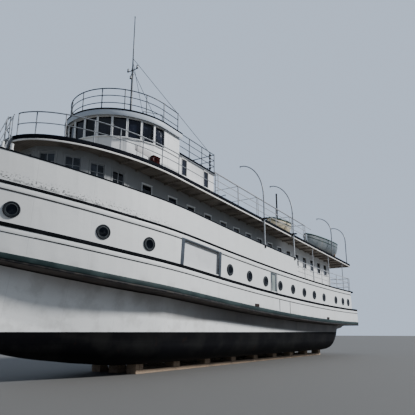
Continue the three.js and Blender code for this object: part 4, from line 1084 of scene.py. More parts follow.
PORTHOLE_XS = [
    13.36, 10.54, 8.65, 3.28, 1.44, -0.28, -2.02, -3.7, -5.35, -6.95, -8.65, -10.95, -12.45, -13.65,
]
PORTHOLE_RADIUS = 0.27
PORTHOLE_DEPTH = 0.030
INNER_RING_RADIUS = 0.20
INNER_RING_DEPTH = 0.026
PORT_LIGHT_RADIUS = 0.17
PORT_LIGHT_DEPTH = 0.016
# Steps by which the outer face of each ring is turned: how far inwards, and how far out or back
RIM_STEPS = ((0.022, 0.010), (0.034, -0.004), (0.010, -0.026))
INNER_STEPS = ((0.024, 0.003), (0.008, -0.018))
PORT_BOLTS = 8
BOLT_CIRCLE = 0.232
BOLT_RADIUS = 0.011
BOLT_LENGTH = 0.044


def porthole_places():
    places = []
    for true_x in PORTHOLE_XS:
        x = frame_at(true_x, PORTHOLE_HEIGHT)
        aft, fore = side_point(x - 0.05, PORTHOLE_HEIGHT), side_point(x + 0.05, PORTHOLE_HEIGHT)
        turn = math.atan2(fore.y - aft.y, fore.x - aft.x)
        place = side_point(x, PORTHOLE_HEIGHT)
        places.append((place, turn))
        places.append((Vector((place.x, -place.y, place.z)), math.pi - turn))
    return places


def disc(name, radius, depth, sides=32, steps=()):
    """A round plate that stands on the plane y = 0 and faces +Y, with that face turned in steps"""
    piece = start_with(
        "cylinder", name, vertices=sides, radius=radius, depth=depth, location=(0, depth / 2, 0),
        rotation=(math.radians(90), 0, 0),
    )
    set_in_place(piece)
    with shaping(piece):
        pick(piece, "faces", lambda face: face.normal.y > 0.9)
        for thickness, rise in steps:
            bpy.ops.mesh.inset(thickness=thickness, depth=rise)
    return piece


def port_bolts():
    """The ring of bolts that holds one rim"""
    bolts = []
    for index in range(PORT_BOLTS):
        angle = math.tau * (index + 0.5) / PORT_BOLTS
        bolt = disc(f"bolt_{index}", BOLT_RADIUS, BOLT_LENGTH, 6)
        bolt.location = (BOLT_CIRCLE * math.cos(angle), 0, BOLT_CIRCLE * math.sin(angle))
        bolts.append(bolt)
    return set_in_place(joined(bolts, "porthole_bolt"))


def portholes():
    """Deep dark rings bolted to the side, each with a grey inner ring and a dark light set well back"""
    places = porthole_places()
    rim = rounded(disc("porthole_rim", PORTHOLE_RADIUS, PORTHOLE_DEPTH, steps=RIM_STEPS), 0.004)
    inner = disc("porthole_inner", INNER_RING_RADIUS, INNER_RING_DEPTH, steps=INNER_STEPS)
    light = disc("porthole_light", PORT_LIGHT_RADIUS, PORT_LIGHT_DEPTH)
    for pattern, name, paint, slot in (
        (smoothed(rim), "porthole_rims", "ring_metal", "iron"),
        (smoothed(inner), "porthole_inner_rings", "ring_grey", "bronze"),
        (smoothed(light), "porthole_lights", "port_glass", "window_glass"),
        (port_bolts(), "porthole_bolts", "black_iron", "iron"),
    ):
        finished(spread(pattern, places, name), paint, slot)


# Decks and roofs

ROUND_SIDES = 96
EDGE_STEPS = 64


def follow_deck(piece):
    """Set a level piece on the slope of the boat deck"""
    for vertex in piece.data.vertices:
        vertex.co.z += boat_deck_z(vertex.co.x)
    piece.data.update()
    return piece


def plate(name, aft, shoulder, tip, half, low, high):
    """A level plate with a square aft end and an elliptical nose"""
    piece = start_with(
        "cylinder", name, vertices=ROUND_SIDES, radius=1, depth=high - low,
        location=(shoulder, 0, (low + high) / 2),
    )
    piece.scale = (tip - shoulder, half, 1)
    set_in_place(piece)
    with shaping(piece):
        bpy.ops.mesh.select_all(action="SELECT")
        bpy.ops.mesh.bisect(plane_co=(shoulder, 0, 0), plane_no=(1, 0, 0), use_fill=True, clear_inner=True)
        pick(piece, "faces", lambda face: face.normal.x < -0.99)
        bpy.ops.mesh.extrude_region_move(TRANSFORM_OT_translate={"value": (aft - shoulder, 0, 0)})
    return facing_out(piece)


def plate_edge(aft, shoulder, tip, half, out, height_of, closed=True):
    """The line round such a plate, moved outwards"""
    run = [Vector((aft - out, half + out))]
    run += nose_line(shoulder, tip, half, EDGE_STEPS, out)
    run.append(Vector((aft - out, -half - out)))
    if closed:
        run.append(run[0])
    return lifted(run, height_of)


def nose_half(x, shoulder, tip, half):
    """Half-breadth at a place of a plan with an elliptical nose"""
    return half * math.sqrt(1 - max(0.0, (x - shoulder) / (tip - shoulder)) ** 2)


def deck_height(lift):
    return lambda x: boat_deck_z(x) + lift


def passenger_height(lift):
    return lambda x: deck_z(x, PASSENGER_DECK) + lift


BOAT_DECK_PLAN = (DECK_AFT, DECK_SHOULDER, DECK_NOSE, DECK_HALF)
PLANK_THICKNESS = 0.05
BEAM_PITCH = 0.9
BEAMS_AFT = DECK_AFT + 0.25
BEAMS_FORE = 11.6
BEAM_HALF_WIDTH = 0.03
BEAM_DEPTH = 0.075
BEAM_INSET = 0.09


def boat_deck():
    """Planked top, black edge, white strip and beams below"""
    for name, low, high, paint, replaced in (
        ("planking", -PLANK_THICKNESS, 0.0, "deck_planks", ["boat_deck"]),
        ("underside", -DECK_THICKNESS, -PLANK_THICKNESS, "under_paint", ()),
    ):
        layer = follow_deck(plate(f"boat_deck_{name}", *BOAT_DECK_PLAN, low, high))
        finished(layer, paint, "deck_planks", replaces=replaced)
    for name, lift, thickness, height, paint, slot in (
        ("edge", -0.078, 0.044, 0.172, "roof_black", BLACK_SLOT),
        ("strip", -0.195, 0.05, 0.07, "strip_white", "white_paint"),
    ):
        line = plate_edge(*BOAT_DECK_PLAN, 0.0, deck_height(lift))
        finished(moulding(f"boat_deck_{name}", [line], thickness, height), paint, slot)
    finished(joined(deck_beams(), "boat_deck_beams"), "under_paint", "white_paint")


def deck_beams():
    """Beams on both sides, from the cabin to just inside the deck's edge"""
    beams = []
    x = BEAMS_AFT
    while x < BEAMS_FORE:
        outer = nose_half(x, DECK_SHOULDER, DECK_NOSE, DECK_HALF) - BEAM_INSET
        inner = nose_half(x, CABIN_SHOULDER, CABIN_NOSE, CABIN_HALF) + 0.005 if x > CABIN_AFT else 0.0
        top = boat_deck_z(x) - DECK_THICKNESS
        for side in SIDES:
            across = (side * inner, side * outer)
            up = (top - BEAM_DEPTH, top + 0.01)
            beams.append(block(f"beam_{x:.2f}_{side}", about(x, BEAM_HALF_WIDTH), across, up))
        x += BEAM_PITCH
    return beams


# Windows and doors

CASING_BEVEL = 0.005
DOOR_CASING_DEPTH = 0.05
SASH_BORDER = 0.03
SILL_LAP = 0.02
BAR_SPAN = (-0.032, -0.012)


def ring_frame(name, width, height, border, depth, y):
    """A frame round an opening, centred on the origin, with its face at y looking along +Y"""
    piece = start_with("cube", name, size=1, location=(0, y - depth / 2, 0))
    piece.scale = (width + 2 * border, depth, height + 2 * border)
    set_in_place(piece)
    with shaping(piece):
        pick(piece, "faces", lambda face: abs(face.normal.y) > 0.9)
        bpy.ops.mesh.inset(thickness=border, use_even_offset=True)
        bpy.ops.mesh.bridge_edge_loops()
    return rounded(piece, CASING_BEVEL, 1)


def wall_places(points, height_of):
    """Middle of each stretch of a wall line, with the turn that faces +Y outwards"""
    places = []
    for before, after in zip(points, points[1:]):
        middle, run = (before + after) / 2, after - before
        places.append((Vector((middle.x, middle.y, height_of(middle.x))), math.atan2(run.y, run.x)))
    return places


def side_places(xs, half, height_of):
    places = []
    for x in xs:
        places.append((Vector((x, half, height_of(x))), 0.0))
        places.append((Vector((x, -half, height_of(x))), math.pi))
    return places


def window_set(name, places, width, height, bars=0, border=0.04, glass="dark_glass"):
    """Casings, sashes with upright bars, and panes for a row of openings"""
    edge = height / 2 + border
    reach = about(0.0, width / 2 + border + SILL_LAP)
    casing = joined([
        ring_frame(f"{name}_casing", width, height, border, 0.036, 0.020),
        block(f"{name}_sill", reach, (-0.01, 0.045), (-edge - 0.026, -edge), bevel=0.006),
        block(f"{name}_head", reach, (-0.01, 0.036), (edge, edge + 0.02), bevel=0.005),
    ], f"{name}_case")
    sash = [ring_frame(
        f"{name}_sash", width - 2 * SASH_BORDER, height - 2 * SASH_BORDER, SASH_BORDER, 0.026, -0.010
    )]
    for bar in range(bars):
        x = width * ((bar + 1) / (bars + 1) - 0.5)
        upright_span = about(0.0, height / 2 - SASH_BORDER)
        sash.append(block(f"{name}_bar_{bar}", about(x, 0.018), BAR_SPAN, upright_span, bevel=0.004))
    if bars:
        reach = about(0.0, width / 2 - 0.02)
        low_rail = (-height / 2, 0.13 - height / 2)
        sash.append(block(f"{name}_low_rail", reach, (-0.032, -0.010), low_rail, bevel=0.004))
        sash.append(block(f"{name}_cross_bar", reach, BAR_SPAN, (0.03, 0.055), bevel=0.004))
    pane = block(f"{name}_pane", about(0.0, width / 2), (-0.034, -0.026), about(0.0, height / 2))
    case_paint = "cabin_white" if glass == "hazy_glass" else "trim_white"
    sash_paint = "sash_grey" if bars else "line_grey"
    finished(spread(casing, places, f"{name}_casings"), case_paint, "white_paint")
    finished(spread(joined(sash, f"{name}_sash"), places, f"{name}_sashes"), sash_paint, "white_paint")
    finished(spread(pane, places, f"{name}_panes"), glass, "window_glass")


def aft_door_casing(name, place, width, height, border):
    """A casing round a doorway that looks aft"""
    casing = ring_frame(f"{name}_casing", width, height, border, DOOR_CASING_DEPTH, DOOR_CASING_DEPTH / 2)
    frame_piece = spread(casing, [(Vector(place), math.radians(90))], f"{name}_frame")
    finished(frame_piece, "trim_white", "white_paint")


CABIN_WINDOW_LOW = 1.05
CABIN_WINDOW_HIGH = 1.8
CABIN_WINDOW_WIDTH = 0.56
SKIRTING_STEPS = 36


def cabin():
    """Walls, windows, the doorway's casing and the skirting of the passenger cabin"""
    for node in ("cabin_wall_port", "cabin_wall_starboard", "cabin_front", "cabin_back"):
        smooth_copy(node, "cabin_white", "white_paint")
    height_of = passenger_height((CABIN_WINDOW_LOW + CABIN_WINDOW_HIGH) / 2)
    size = (CABIN_WINDOW_WIDTH, CABIN_WINDOW_HIGH - CABIN_WINDOW_LOW)
    window_set("cabin_side_window", side_places(CABIN_WINDOW_XS, CABIN_HALF, height_of), *size)
    nose = (CABIN_SHOULDER, CABIN_NOSE, CABIN_HALF)
    places = wall_places(nose_line(*nose, CABIN_PANES), height_of)
    window_set("cabin_front_window", places, *size, bars=1, border=0.06, glass="hazy_glass")
    door_place = (CABIN_AFT + 0.002, 0, deck_z(CABIN_AFT, PASSENGER_DECK) + 0.93)
    aft_door_casing("cabin_door", door_place, 0.8, 1.74, 0.07)
    skirting = [Vector((CABIN_AFT, CABIN_HALF)), Vector((CABIN_SHOULDER, CABIN_HALF))]
    skirting += nose_line(*nose, SKIRTING_STEPS)[1:-1]
    skirting += [Vector((CABIN_SHOULDER, -CABIN_HALF)), Vector((CABIN_AFT, -CABIN_HALF))]
    runs = [lifted(skirting, passenger_height(0.07))]
    finished(moulding("cabin_skirting", runs, 0.03, 0.12), "line_grey", "white_paint")


PILOT_FRAME_HEIGHT = (PILOT_SILL + PILOT_HEAD) / 2
ROOF_PLATE = ROOF - 0.006


def pilothouse():
    """Walls, glass, mouldings, roofs and windows of the pilothouse and the texas house"""
    for node in ("pilothouse_wall", "pilothouse_back", "texas_wall"):
        smooth_copy(node, "house_white", "white_paint")
    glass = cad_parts["pilothouse_glass"]
    glass.data.materials.clear()
    glass.data.materials.append(PAINT["dark_glass"])
    corners = nose_line(PILOT_SHOULDER, PILOT_NOSE, PILOT_HALF, PILOT_PANES)
    width = (corners[1] - corners[0]).length - 0.09
    casing = ring_frame("pilot_casing", width, PILOT_HEAD - PILOT_SILL, 0.018, 0.03, 0.012)
    places = wall_places(corners, deck_height(PILOT_FRAME_HEIGHT))
    finished(spread(casing, places, "pilothouse_sashes"), "trim_white", "white_paint")
    line = (PILOT_AFT, PILOT_SHOULDER, PILOT_NOSE, PILOT_HALF)
    for name, out, lift, thickness, height, paint in (
        ("sill_ledge", 0.0, PILOT_SILL - 0.045, 0.08, 0.045, "trim_white"),
        ("fascia", 0.088, 2.17, 0.03, 0.25, "fascia_blue"),
        ("roof_nosing", 0.092, 2.31, 0.05, 0.07, "roof_black"),
        ("base_strip", 0.0, 0.06, 0.035, 0.10, "line_grey"),
    ):
        run = plate_edge(*line, out, deck_height(lift), closed=False)
        finished(moulding(f"pilothouse_{name}", [run], thickness, height), paint, "white_paint")
    house_roofs()
    places = side_places((5.25, 3.45), TEXAS_HALF, deck_height(1.185))
    window_set("texas_window", places, 0.38, 0.8, border=0.03)
    aft_door_casing("texas_door", (TEXAS_AFT, -0.775, boat_deck_z(TEXAS_AFT) + 0.80), 0.65, 1.48, 0.06)


def house_roofs():
    """Roof plates of the pilothouse and the texas house, with rounded edges"""
    plan = (PILOT_AFT - OVERHANG, PILOT_SHOULDER, PILOT_NOSE + OVERHANG, PILOT_HALF + OVERHANG)
    pilot = plate("pilothouse_roof_plate", *plan, PILOT_HEIGHT, PILOT_HEIGHT + ROOF_PLATE)
    texas = block(
        "texas_roof_plate", (TEXAS_AFT - OVERHANG, PILOT_AFT - 0.001), about(0.0, TEXAS_HALF + OVERHANG),
        (TEXAS_HEIGHT, TEXAS_HEIGHT + ROOF_PLATE),
    )
    for roof, node in ((pilot, "pilothouse_roof"), (texas, "texas_roof")):
        rounded(follow_deck(roof), 0.02, 3)
        finished(smoothed(roof), "roof_black", BLACK_SLOT, replaces=[node])


# Rails

HEAD_PIPE = 0.024
LOW_PIPE = 0.018
POST_PIPE = 0.022
RAIL_BALL = 0.031
FLANGE_RADIUS = 0.045
FLANGE_THICKNESS = 0.012


def balls(name, places, radius):
    ball = start_with("uv_sphere", f"{name}_ball", segments=8, ring_count=6, radius=radius)
    return smoothed(spread(ball, [(place, 0.0) for place in places], name), 60)


def flanges(name, feet, radius):
    """Thin round plates under the feet of posts"""
    flange = start_with(
        "cylinder", f"{name}_flange", vertices=12, radius=radius, depth=FLANGE_THICKNESS,
        location=(0, 0, FLANGE_THICKNESS / 2),
    )
    return spread(set_in_place(flange), [(foot, 0.0) for foot in feet], f"{name}_flanges")


def fence(name, line, posts, heights, foot_z, replaces=(), paint="rail_grey"):
    """Pipe rails along a line, with posts, a ball at each crossing and a flange at each foot"""
    def raised(points, height):
        return [Vector((point.x, point.y, foot_z(point.x) + height)) for point in points]

    uprights = [[low, high] for low, high in zip(raised(posts, 0.0), raised(posts, heights[-1]))]
    crossings = [place for height in heights for place in raised(posts, height)]
    parts = [
        pipes(f"{name}_head", [raised(line, heights[-1])], HEAD_PIPE),
        pipes(f"{name}_low", [raised(line, height) for height in heights[:-1]], LOW_PIPE, 6),
        pipes(f"{name}_posts", uprights, POST_PIPE),
        balls(f"{name}_balls", crossings, RAIL_BALL),
        flanges(name, raised(posts, 0.0), FLANGE_RADIUS),
    ]
    return finished(joined(parts, name), paint, "rail_grey", replaces=replaces)


def turned_over(points):
    return [Vector((point.x, -point.y)) for point in points]


def row(start, end, bays):
    """Points at equal steps from one point to another"""
    start, end = Vector(start), Vector(end)
    return [start.lerp(end, bay / bays) for bay in range(bays + 1)]


HALVES = (("port", list), ("starboard", turned_over))
RAIL_OUT = 0.017
ROOF_HEIGHTS = (0.35, 0.68, 1.0)
ROOF_RAIL_INSET = 0.12
ROOF_RAIL_BAYS = 8
ROOF_RAIL_STEPS = 48
TEXAS_RAIL_XS = (5.98, 4.9, 3.85, 2.737)
TEXAS_RAIL_Y = 1.933
TEXAS_BACK_POST_Y = 0.65
BOW_HEIGHTS = (0.45, 0.88)
BOW_RAIL_BAYS = 14
BOW_RAIL_STEPS = 84
BOW_RAIL_AFT = 4.32
BOW_RAIL_INSET = 0.055
BOW_RAIL_END = (DECK_NOSE - 0.078, 0.25)
SIDE_HEIGHTS = (0.35, 0.7, 1.05)
SIDE_RAIL_XS = (-6.3, -4.2, -2.05, 0.1, 2.2, BOW_RAIL_AFT)
SIDE_RAIL_Y = 3.02
AFT_HEIGHTS = (0.35, 0.68, 1.0)
AFT_RAIL_ENDS = ((-4.57, 2.983), (-14.85, 2.983))
AFT_RAIL_BAYS = 7
STERN_RAIL_ENDS = ((-14.833, 2.9), (-14.833, -2.9))
STERN_RAIL_BAYS = 4
PILLAR_RADIUS = 0.03


def roof_rails():
    """Rails round the roofs of the pilothouse and the texas house"""
    half = PILOT_HALF - ROOF_RAIL_INSET
    plan = (PILOT_SHOULDER, PILOT_NOSE - ROOF_RAIL_INSET, half)
    aft = [Vector((PILOT_AFT, half + RAIL_OUT)), Vector((PILOT_AFT, -half - RAIL_OUT))]
    line = aft[:1] + nose_line(*plan, ROOF_RAIL_STEPS, RAIL_OUT) + aft[1:]
    posts = aft[:1] + nose_line(*plan, ROOF_RAIL_BAYS, RAIL_OUT) + aft[1:]
    top = deck_height(PILOT_HEIGHT + ROOF)
    fence("pilothouse_pipe_rail", line, posts, ROOF_HEIGHTS, top, ["pilothouse_rail"], "rail_dark")
    port = [Vector((x, TEXAS_RAIL_Y)) for x in TEXAS_RAIL_XS]
    port.append(Vector((TEXAS_RAIL_XS[-1], TEXAS_BACK_POST_Y)))
    posts = port + turned_over(reversed(port))
    top = deck_height(TEXAS_HEIGHT + ROOF)
    fence("texas_pipe_rail", posts, posts, ROOF_HEIGHTS, top, ["texas_rail"], "rail_dark")


def deck_rails():
    """Rails of the boat deck: low ones round the bow, and taller ones along the sides"""
    plan = (DECK_SHOULDER, DECK_NOSE - BOW_RAIL_INSET, SIDE_RAIL_Y)
    start, end = [Vector((BOW_RAIL_AFT, SIDE_RAIL_Y + RAIL_OUT))], [Vector(BOW_RAIL_END)]
    line = start + [point for point in nose_line(*plan, BOW_RAIL_STEPS, RAIL_OUT) if point.y > 0.3] + end
    posts = start + [point for point in nose_line(*plan, BOW_RAIL_BAYS, RAIL_OUT) if point.y > 0.48] + end
    side_posts = [Vector((x, SIDE_RAIL_Y + RAIL_OUT)) for x in SIDE_RAIL_XS]
    foot = deck_height(0.0)
    for name, turn in HALVES:
        fence(f"bow_deck_rail_{name}", turn(line), turn(posts), BOW_HEIGHTS, foot)
        side, node = turn(side_posts), f"boat_deck_rail_{name}"
        fence(f"side_deck_rail_{name}", side, side, SIDE_HEIGHTS, foot, [node], "rail_pale")


def aft_rails():
    """Rails round the open deck aft, and pillars up to the boat deck"""
    foot = passenger_height(0.0)
    head = deck_height(-DECK_THICKNESS)
    for name, turn in HALVES:
        posts = turn(row(*AFT_RAIL_ENDS, AFT_RAIL_BAYS))
        fence(f"aft_pipe_rail_{name}", posts, posts, AFT_HEIGHTS, foot, [f"aft_rail_{name}"], "rail_pale")
        pillars = [[Vector((post.x, post.y, end(post.x))) for end in (foot, head)] for post in posts[::2]]
        finished(pipes(f"deck_pillars_{name}", pillars, PILLAR_RADIUS, 12), "rail_pale", "rail_grey")
    stern = row(*STERN_RAIL_ENDS, STERN_RAIL_BAYS)
    fence("stern_pipe_rail", stern, stern, AFT_HEIGHTS, foot, ["stern_rail"], "rail_pale")


AWNING_Y = 2.02
AWNING_HEIGHT = 1.75
AWNING_XS = (2.5, 0.5, -1.65, -6.2, -8.5)
AWNING_ENDS = (2.522, -9.9)
AWNING_PIPE = 0.02
AWNING_POST = 0.022
AWNING_BALL = 0.034
AWNING_FLANGE = 0.05


def awning():
    """Light pipe frame over the boat deck"""
    top = deck_height(AWNING_HEIGHT)
    bars, posts = [], []
    for y in (AWNING_Y, -AWNING_Y):
        bars.append([Vector((x, y, top(x))) for x in AWNING_ENDS])
        posts += [[Vector((x, y, boat_deck_z(x))), Vector((x, y, top(x)))] for x in AWNING_XS]
    bars += [[Vector((x, y, top(x))) for y in (-AWNING_Y, AWNING_Y)] for x in AWNING_XS]
    parts = [
        pipes("awning_bars", bars, AWNING_PIPE),
        pipes("awning_posts", posts, AWNING_POST),
        balls("awning_balls", [head for _, head in posts], AWNING_BALL),
        flanges("awning", [foot for foot, _ in posts], AWNING_FLANGE),
    ]
    finished(joined(parts, "awning_pipes"), "rail_pale", "rail_grey", replaces=["awning_frame"])


# Davits

DAVIT_RADIUS = 0.038
DAVIT_TAPER = (1, 1, 1, 1, 0.97, 0.94, 0.9, 0.86, 0.82, 0.78, 0.74)
DAVIT_STEPS = 8
DECK_SOCKET = 0.0035
FOOT_GAP = 0.012
LOW_COLLAR = 0.14
DAVITS = [
    # number, x, y, straight height, reach, rise, and whether it stands on the bulwark
    (1, -0.35, 3.15, 1.285, 1.45, 2.0, True),
    (2, -4.15, 3.15, 1.285, 1.45, 2.0, True),
    (3, -11.55, 2.95, 1.84, 1.05, 1.15, False),
    (4, -14.75, 2.95, 1.84, 1.05, 1.15, False),
]


def drum(name, place, radius, depth, bevel, sides=20):
    """An upright cylinder with rounded edges, centred on a place"""
    piece = start_with("cylinder", name, vertices=sides, radius=radius, depth=depth, location=place)
    return rounded(set_in_place(piece), bevel)


def davit_arm(number, x, y, straight, reach, rise, on_bulwark):
    """A tapered arm with its eye, end knob, foot plate and collars"""
    foot = (deck_z(x, BULWARK_TOP) if on_bulwark else boat_deck_z(x) + DECK_SOCKET) + FOOT_GAP
    bend = boat_deck_z(x) + straight
    run = [Vector((x, y, z)) for z in (foot, (foot + bend) / 2, bend)]
    for step in range(1, DAVIT_STEPS + 1):
        angle = math.radians(90) * step / DAVIT_STEPS
        run.append(Vector((x, y - reach * (1 - math.cos(angle)), bend + rise * math.sin(angle))))
    tip = run[-1]
    shank = [tip + Vector((0, 0.01, 0.0)), tip + Vector((0, 0.01, -0.03))]
    parts = [
        pipes(f"davit_{number}_arm", [run], DAVIT_RADIUS, 14, True, DAVIT_TAPER),
        start_with(
            "torus", f"davit_{number}_eye", major_radius=0.036, minor_radius=0.011, major_segments=16,
            minor_segments=8, location=tip + Vector((0, 0.01, -0.055)), rotation=(0, math.radians(90), 0),
        ),
        pipes(f"davit_{number}_shank", [shank], 0.014),
        start_with(
            "uv_sphere", f"davit_{number}_knob", segments=12, ring_count=8, radius=0.034, location=tip
        ),
        drum(f"davit_{number}_plate", (x, y, foot + 0.03), 0.06, 0.06, 0.008),
    ]
    for z in (foot + LOW_COLLAR, bend):
        parts.append(drum(f"davit_{number}_collar", (x, y, z), 0.047, 0.03, 0.006))
    return joined(parts, f"davit_{number}_pipe_port")


def davits():
    for davit in DAVITS:
        number = davit[0]
        port = smoothed(set_in_place(davit_arm(*davit)), 50)
        starboard = smoothed(mirrored(port, f"davit_{number}_pipe_starboard"), 50)
        for side, piece in (("port", port), ("starboard", starboard)):
            body, node = f"davit_arm_{number}_{side}", f"davit_{number}_{side}"
            finished(piece, "davit_grey", "davit_grey", body, [node])
    davit_brackets()


FORK_YS = (2.88, 3.37)
FORK_GAP = 0.055
FORK_BAR = 0.03
FORK_ZS = (-0.045, 0.02)
TIE_YS = ((3.23, 3.27), (3.33, 3.37))
PAD_HALF_LENGTH = 0.2
PAD_YS = (DECK_HALF + 0.02, DECK_HALF + 0.034)
PAD_ZS = (-0.165, 0.012)
HEEL_RADIUS = 0.072
HEEL_DEPTH = 0.16


def davit_brackets():
    """Black forks across the boat deck's edge that guide the tall davits, and heel sockets on the bulwark"""
    parts = []
    for number, x, y, *_, on_bulwark in DAVITS:
        if not on_bulwark:
            continue
        deck = boat_deck_z(x)
        fork_span = [deck + z for z in FORK_ZS]
        for side in SIDES:
            along = (x + side * FORK_GAP, x + side * (FORK_GAP + FORK_BAR))
            parts.append(block(f"fork_{number}_{side}", along, FORK_YS, fork_span, bevel=0.005))
        for across in TIE_YS:
            along = about(x, FORK_GAP + FORK_BAR)
            parts.append(block(f"tie_{number}_{across[0]}", along, across, fork_span, bevel=0.005))
        pad_span = [deck + z for z in PAD_ZS]
        parts.append(block(f"pad_{number}", about(x, PAD_HALF_LENGTH), PAD_YS, pad_span, bevel=0.004))
        heel = (x, y, deck_z(x, BULWARK_TOP) + 0.006 - HEEL_DEPTH / 2)
        parts.append(drum(f"heel_{number}", heel, HEEL_RADIUS, HEEL_DEPTH, 0.008))
    port = smoothed(set_in_place(joined(parts, "davit_brackets_port")), 40)
    starboard = smoothed(mirrored(port, "davit_brackets_starboard"), 40)
    for piece in (port, starboard):
        finished(piece, "black_iron", "iron")


# Lifeboats

LIFEBOATS = [
    # name, x, y, length, beam, depth, height of the keel above the deck, and its paint
    ("lifeboat_fore", -4.15, 2.23, 2.5, 1.25, 0.62, 0.13, "boat_cream"),
    ("lifeboat_aft", -12.05, 1.95, 5.9, 1.65, 0.9, 0.33, "boat_grey"),
]
BOAT_SKIN = 0.035
BOAT_STATIONS = 20
STRAKE_ANGLE = math.radians(74)
THWART_SHARES = (-0.62, -0.3, 0.0, 0.3, 0.62)
THWART_DROP = 0.17
THWART_HALF_WIDTH = 0.11
THWART_THICKNESS = 0.035
BOARDS_LENGTH_SHARE = 0.33
BOARDS_WIDTH_SHARE = 0.22
BOARDS_SPAN = (0.13, 0.155)
CHOCK_SHARES = (-0.56, 0.56)
CHOCK_WIDTH_SHARE = 0.28
CHOCK_LENGTH = 0.12


class BoatShape:
    """Outside of a double-ended boat, by share of its length and angle round its section"""

    def __init__(self, x, y, length, beam, depth, keel_z):
        self.x, self.y, self.length, self.beam, self.depth, self.keel_z = x, y, length, beam, depth, keel_z

    def half(self, along):
        return self.beam / 2 * max(0.03, (1 - along**2)) ** 0.6

    def keel(self, along):
        return self.keel_z + self.depth * 0.45 * along**4

    def top(self, along):
        return self.keel_z + self.depth * (1 + 0.22 * along**2)

    def point(self, along, angle, lift=0.0):
        across = abs(math.sin(angle)) ** 0.7 * self.half(along)
        z = self.keel(along) + (self.top(along) - self.keel(along)) * (1 - math.cos(angle))
        return Vector((self.x + self.length / 2 * along, self.y + math.copysign(across, angle), z + lift))

    def run(self, stations, angle, lift=0.0):
        return [self.point(along, angle, lift) for along in stations]

    def bottom_at(self, along, y):
        share = min(1.0, abs(y - self.y) / self.half(along)) ** (1 / 0.7)
        return self.keel(along) + (self.top(along) - self.keel(along)) * (1 - math.cos(math.asin(share)))


def boat_shell(shape, name):
    shell = start_with("grid", f"{name}_shell_port", x_subdivisions=40, y_subdivisions=24, size=2)
    for vertex in shell.data.vertices:
        vertex.co = shape.point(math.sin(vertex.co.x * math.pi / 2), vertex.co.y * math.pi / 2)
    facing_out(shell)
    with_modifier(shell, "SOLIDIFY", thickness=BOAT_SKIN, offset=-1)
    return smoothed(facing_out(shell), 50)


def boat_trim(shape, name):
    """Gunwale, rubbing strakes, keel and end posts"""
    stations = [math.sin((step / BOAT_STATIONS - 0.5) * math.pi) for step in range(BOAT_STATIONS + 1)]
    rim, other_rim = (shape.run(stations, side * math.pi / 2, 0.01) for side in (1, -1))
    gunwale = moulding(f"{name}_gunwale", [rim + other_rim[::-1] + rim[:1]], 0.06, 0.085)
    strake_runs = [shape.run(stations[1:-1], side * STRAKE_ANGLE) for side in (1, -1)]
    strakes = moulding(f"{name}_strake", strake_runs, 0.035, 0.045)
    keel_run = shape.run(stations, 0.0, -0.01)
    for point in keel_run:
        point.y = shape.y
    ends = [[keel_run[end], Vector((keel_run[end].x, shape.y, rim[end].z + 0.07))] for end in (0, -1)]
    keel = pipes(f"{name}_keel", [keel_run] + ends, 0.028)
    return joined([gunwale, strakes, keel], f"{name}_trim_port")


def boat_woodwork(shape, name):
    """Thwarts and bottom boards"""
    wood = []
    for share in THWART_SHARES:
        along = about(shape.x + share * shape.length / 2, THWART_HALF_WIDTH)
        across = about(shape.y, shape.half(share) - 0.03)
        top = shape.top(share) - THWART_DROP * shape.depth
        up = (top - THWART_THICKNESS, top)
        wood.append(block(f"{name}_thwart_{share}", along, across, up, bevel=0.008))
    along = about(shape.x, shape.length * BOARDS_LENGTH_SHARE)
    across = about(shape.y, shape.beam * BOARDS_WIDTH_SHARE)
    wood.append(block(f"{name}_boards", along, across, [shape.keel_z + z for z in BOARDS_SPAN], bevel=0.005))
    return joined(wood, f"{name}_thwarts_port")


def chock_under(shape, share, name):
    """A cradle cut to the boat's bottom"""
    piece = start_with("grid", name, x_subdivisions=1, y_subdivisions=14, size=1)
    piece.scale = (CHOCK_LENGTH, 2 * shape.beam * CHOCK_WIDTH_SHARE, 1)
    piece.location = (shape.x + share * shape.length / 2, shape.y, 0)
    set_in_place(piece)
    with shaping(piece):
        bpy.ops.mesh.select_all(action="SELECT")
        bpy.ops.mesh.extrude_region_move(TRANSFORM_OT_translate={"value": (0, 0, 1)})
    for vertex in piece.data.vertices:
        if vertex.co.z > 0.5:
            vertex.co.z = shape.bottom_at(share, vertex.co.y) + 0.012
        else:
            vertex.co.z = boat_deck_z(vertex.co.x) + 0.001
    return facing_out(piece)


def lifeboat(name, x, y, length, beam, depth, chock, paint):
    """A boat on its chocks, made to port and mirrored to starboard"""
    shape = BoatShape(x, y, length, beam, depth, boat_deck_z(x) + chock)
    chocks = [chock_under(shape, share, f"{name}_chock_{share}") for share in CHOCK_SHARES]
    for piece, finish, slot in (
        (boat_shell(shape, name), paint, paint),
        (boat_trim(shape, name), "gunwale_green", paint),
        (boat_woodwork(shape, name), "boat_wood", "timber"),
        (joined(chocks, f"{name}_chocks_port"), "rough_timber", "timber"),
    ):
        other = smoothed(mirrored(piece, piece.name.replace("_port", "_starboard")), 50)
        for side, half in (("port", piece), ("starboard", other)):
            finished(half, finish, slot, replaces=[f"{name}_{side}"] if finish == paint else ())


# Mast and deck fittings

MAST_X = 7.03
CAP_Z = 14.1
MAST_TOP_Z = 17.07
CROSSTREE_HALF = 0.34
STAY_X = TEXAS_AFT + 0.04
STAY_RADIUS = 0.013
BAND_DEPTH = 0.05
MAST_LAMPS = [
    # x, y and z of each lamp's middle
    (MAST_X + 0.11, 0, CAP_Z - 0.55),
    (MAST_X, 0.3, CAP_Z - 0.02),
    (MAST_X, -0.3, CAP_Z - 0.02),
]


